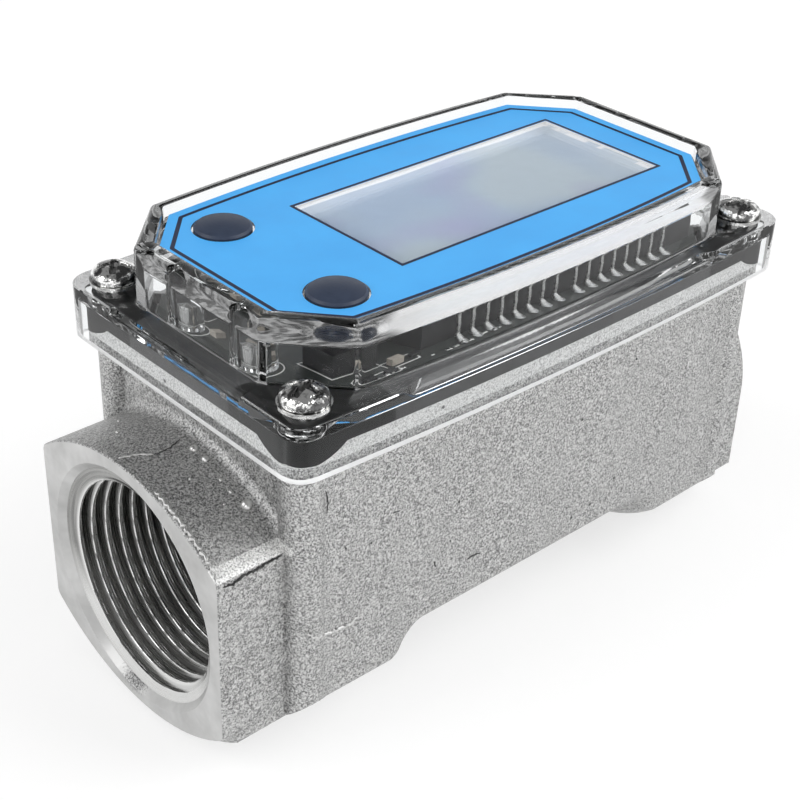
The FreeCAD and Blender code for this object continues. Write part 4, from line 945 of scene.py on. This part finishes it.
def winding():
    """Copper winding with fine turns stacked along its height."""
    material, tree, shader, where = finish("copper_winding", (0.55, 0.24, 0.1), 0.35, 0.9)
    turns = add(tree, "TexWave", {"Vector": where, "Scale": 1600.0, "Distortion": 1.0, "Detail": 1.0},
                wave_type="BANDS", bands_direction="Z").outputs["Fac"]
    drive(tree, shader, {"Base Color": tint(tree, turns, (0.30, 0.10, 0.04), (0.66, 0.32, 0.15))})
    relief(tree, shader, turns, 0.00008, 0.8)
    return material


# Solids in a plain finish: name, colour, roughness, metal, second colour, scale, relief and drift of the
# roughness, then the nodes.
PLAIN = [
    ("bright_nickel", (0.70, 0.70, 0.69), 0.08, 1.0, (0.8, 0.8, 0.79), 900.0, 0.00001, 0.04,
     ["screw_washers", "board_screws"]),
    ("tinned_metal", (0.62, 0.62, 0.61), 0.28, 1.0, (0.75, 0.75, 0.73), 1500.0, 0.00002, 0.1,
     ["lcd_pins", "battery_leads", "coil_leads", "rotor_magnets"]),
    ("spring_steel", (0.42, 0.41, 0.39), 0.3, 1.0, (0.55, 0.54, 0.52), 700.0, 0.00002, 0.08,
     ["positive_contacts", "negative_contacts", "inlet_retaining_ring", "outlet_retaining_ring"]),
    ("navy_button", (0.026, 0.038, 0.070), 0.45, 0.0, (0.032, 0.046, 0.082), 900.0, 0.00002, 0.05,
     ["display_button", "calibrate_button"]),
    ("moulded_black", (0.014, 0.014, 0.015), 0.4, 0.0, (0.028, 0.028, 0.03), 800.0, 0.00003, 0.08,
     ["display_switch", "calibrate_switch", "display_switch_plunger", "calibrate_switch_plunger",
      "lcd_frame", "processor_chip", "board_resistors", "battery_holder"]),
    ("white_plastic", (0.72, 0.72, 0.7), 0.42, 0.0, (0.8, 0.8, 0.79), 300.0, 0.00002, 0.06,
     ["lcd_reflector", "coil_bobbin"]),
    ("fired_ceramic", (0.33, 0.30, 0.26), 0.5, 0.0, (0.42, 0.38, 0.33), 1500.0, 0.00002, 0.06,
     ["board_capacitors"]),
    ("steel_can", (0.55, 0.55, 0.56), 0.25, 1.0, (0.66, 0.66, 0.66), 500.0, 0.00002, 0.08,
     ["timing_crystal", "near_battery", "far_battery"]),
    ("sintered_core", (0.03, 0.03, 0.032), 0.6, 0.2, (0.06, 0.06, 0.06), 1200.0, 0.00004, 0.08,
     ["coil_core"]),
    ("rotor_plastic", (0.68, 0.68, 0.62), 0.4, 0.0, (0.78, 0.78, 0.73), 260.0, 0.00003, 0.06,
     ["turbine_rotor"]),
    ("bearing_plastic", (0.11, 0.08, 0.055), 0.4, 0.0, (0.16, 0.12, 0.09), 900.0, 0.00002, 0.06,
     ["rotor_bushes", "thrust_washers"]),
    ("grey_moulding", (0.05, 0.052, 0.055), 0.42, 0.0, (0.075, 0.078, 0.08), 350.0, 0.00004, 0.06,
     ["inlet_support", "outlet_support"]),
    ("ground_steel", (0.58, 0.58, 0.59), 0.2, 1.0, (0.7, 0.7, 0.71), 2000.0, 0.00001, 0.06,
     ["rotor_shaft"]),
]


def finish_nodes():
    """Every solid that stays in view keeps its shape and gets its finish; returns the plain ones by name."""
    groups = [
        (cast_metal(), ["meter_body"]),
        (gasket_rubber(), ["cover_gasket"]),
        (faceplate_film(), ["face_label"]),
        (board_skin(), ["circuit_board"]),
        (display_face(), ["lcd_glass"]),
        (winding(), ["pickup_coil"]),
    ]
    shared = {}
    for *values, names in PLAIN:
        shared[values[0]] = plain(*values)
        groups.append((shared[values[0]], names))
    for material, names in groups:
        for name in names:
            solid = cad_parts[name]
            solid.data.materials.clear()
            solid.data.materials.append(material)
    return shared


# Studio

# Camera of the photo: azimuth, elevation and roll in degrees, place in metres, lens and width in pixels.
VIEW_ANGLES = (-41.45, 32.084, 1.153)
VIEW_PLACE = (-0.08961816, -0.14593455, 0.13532882)
FOCAL_PIXELS = 1575.589
PICTURE_PIXELS = 800.0
SENSOR_WIDTH = 36.0

# Soft lamps: name, place and size in metres, power in watts; all aim at one point.
LAMPS = [
    ("left_softbox", (-0.7, -0.65, 0.6), 0.5, 2.0),
    ("front_softbox", (0.62, -0.6, 0.7), 0.8, 5.4),
    ("back_softbox", (-0.75, 0.38, 0.7), 0.75, 3.9),
]
LAMP_AIM = (0.054, 0.0, 0.01)
FLOOR_HALF = 3.0


def seen_directly(tree):
    """One for rays from the camera, from gloss and through glass, zero for the light that lands on surfaces."""
    path = add(tree, "LightPath")
    return calc(tree, "MAXIMUM", path.outputs["Is Camera Ray"],
                calc(tree, "MAXIMUM", path.outputs["Is Glossy Ray"], path.outputs["Is Transmission Ray"]))


def guided(tree, level):
    """One, or the given level for light that has both entered the clear cover and been mirrored."""
    path = add(tree, "LightPath")
    both = times(tree, above(tree, path.outputs["Glossy Depth"], 0.5),
                 above(tree, path.outputs["Transmission Depth"], 0.5))
    return spread(tree, both, 0.0, 1.0, 1.0, level)


def floor():
    """Pale floor under the feet, wide enough to meet the surround."""
    half, low = FLOOR_HALF, FOOT_PAD * MM
    sheet = bpy.data.meshes.new("pale_floor")
    sheet.from_pydata([(-half, -half, low), (half, -half, low), (half, half, low), (-half, half, low)], [],
                      [(0, 1, 2, 3)])
    ground = bpy.data.objects.new("pale_floor", sheet)
    bpy.context.scene.collection.objects.link(ground)
    material, tree, shader, _ = finish("pale_floor", (0.86, 0.86, 0.86), 0.7, Emission_Color=(1, 1, 1, 1))
    seen = seen_directly(tree)
    less = guided(tree, 0.3)
    shown = tint(tree, less, (0.1, 0.1, 0.1), (0.46, 0.46, 0.46))
    drive(tree, shader, {"Base Color": tint(tree, seen, (0.86, 0.86, 0.86), shown),
                         "Emission Strength": times(tree, times(tree, seen, less), 0.6)})
    sheet.materials.append(material)


def surround():
    """White surround for the camera; in gloss and glass it is white up to a low horizon and dark overhead."""
    world = bpy.data.worlds.new("white_surround")
    bpy.context.scene.world = world
    world.use_nodes = True
    tree = world.node_tree
    back = tree.nodes["Background"]
    back.inputs["Color"].default_value = (1, 1, 1, 1)
    path = add(tree, "LightPath")
    height = axes(tree, add(tree, "TexCoord").outputs["Generated"])[2]
    mirrored = times(tree, spread(tree, height, 0.24, 0.44, 0.95, 0.2), guided(tree, 0.35))
    landed = above(tree, path.outputs["Diffuse Depth"], 0.5)
    unseen = between(tree, landed, mirrored, 0.5)
    drive(tree, back, {"Strength": between(tree, path.outputs["Is Camera Ray"], unseen, 1.0)})


def level_axes(back):
    """Right and up of something that looks along -back and is held level."""
    right = np.cross(-back, [0, 0, 1.0])
    right /= np.linalg.norm(right)
    return right, np.cross(right, -back)


def placed(name, data, right, up, back, place):
    """Object for a lamp or camera, turned to its three axes."""
    holder = bpy.data.objects.new(name, data)
    bpy.context.scene.collection.objects.link(holder)
    holder.matrix_world = Matrix([[right[k], up[k], back[k], place[k]] for k in range(3)] + [[0, 0, 0, 1]])
    return holder


def studio():
    """Floor, surround and three soft lamps at a plain level."""
    floor()
    surround()
    for name, place, size, power in LAMPS:
        lamp = bpy.data.lights.new(name, "AREA")
        lamp.size = size
        lamp.energy = power
        back = np.array(place) - np.array(LAMP_AIM)
        back /= np.linalg.norm(back)
        placed(name, lamp, *level_axes(back), back, place)


def camera():
    """Camera at the photograph's viewpoint."""
    azimuth, elevation, roll = (math.radians(v) for v in VIEW_ANGLES)
    back = np.array([math.sin(azimuth) * math.cos(elevation), -math.cos(azimuth) * math.cos(elevation),
                     math.sin(elevation)])
    right, up = level_axes(back)
    c, s = math.cos(roll), math.sin(roll)
    right, up = c * right + s * up, c * up - s * right
    lens = bpy.data.cameras.new("photo_view")
    lens.sensor_width = SENSOR_WIDTH
    lens.lens = FOCAL_PIXELS * SENSOR_WIDTH / PICTURE_PIXELS
    lens.shift_x = 0.05
    lens.shift_y = 0.00608
    lens.clip_start = 0.01
    lens.clip_end = 20.0
    bpy.context.scene.camera = placed("photo_view", lens, right, up, back, VIEW_PLACE)


def main():
    """Camera, studio, the finishes of the solids, then the meshes that replace solids or are added to them."""
    camera()
    studio()
    bpy.context.scene.view_settings.view_transform = "Standard"
    shared = finish_nodes()
    tin, white = shared["tinned_metal"], shared["white_plastic"]
    clear_cover(clear_plastic(), plain("frosted_edge", (0.93, 0.93, 0.93), 0.7, 0.0, (0.97, 0.97, 0.97)))
    cut = cut_thread()
    thread("inlet_thread", INLET_THREAD, 1, cut)
    thread("outlet_thread", OUTLET_THREAD, -1, cut)
    cover_screws(screw_metal(),
                 plain("recess_painted_shade", (0.2, 0.2, 0.2), 0.3, 1.0, (0.55, 0.55, 0.55), 900.0, 0.0001))
    printed_lines(plain("navy_print", (0.008, 0.012, 0.045), 0.4, 0.0, (0.014, 0.02, 0.06), 600.0))
    solder_feet(tin)
    board_pads(tin)
    pin_clips(tin)
    board_marks(white)
    casting_beads(plain("bright_bead", (0.62, 0.62, 0.61), 0.3, 1.0, (0.8, 0.8, 0.79), 1500.0, spot=0.08))
    raised = plain("raised_metal", (0.55, 0.55, 0.545), 0.4, 1.0, (0.75, 0.75, 0.74), 1500.0, 0.00004, 0.08)
    folds = plain("dark_fold", (0.03, 0.03, 0.03), 0.6, 0.6, (0.09, 0.09, 0.09), 1500.0, spot=0.08)
    casting_marks(raised, folds)


main()
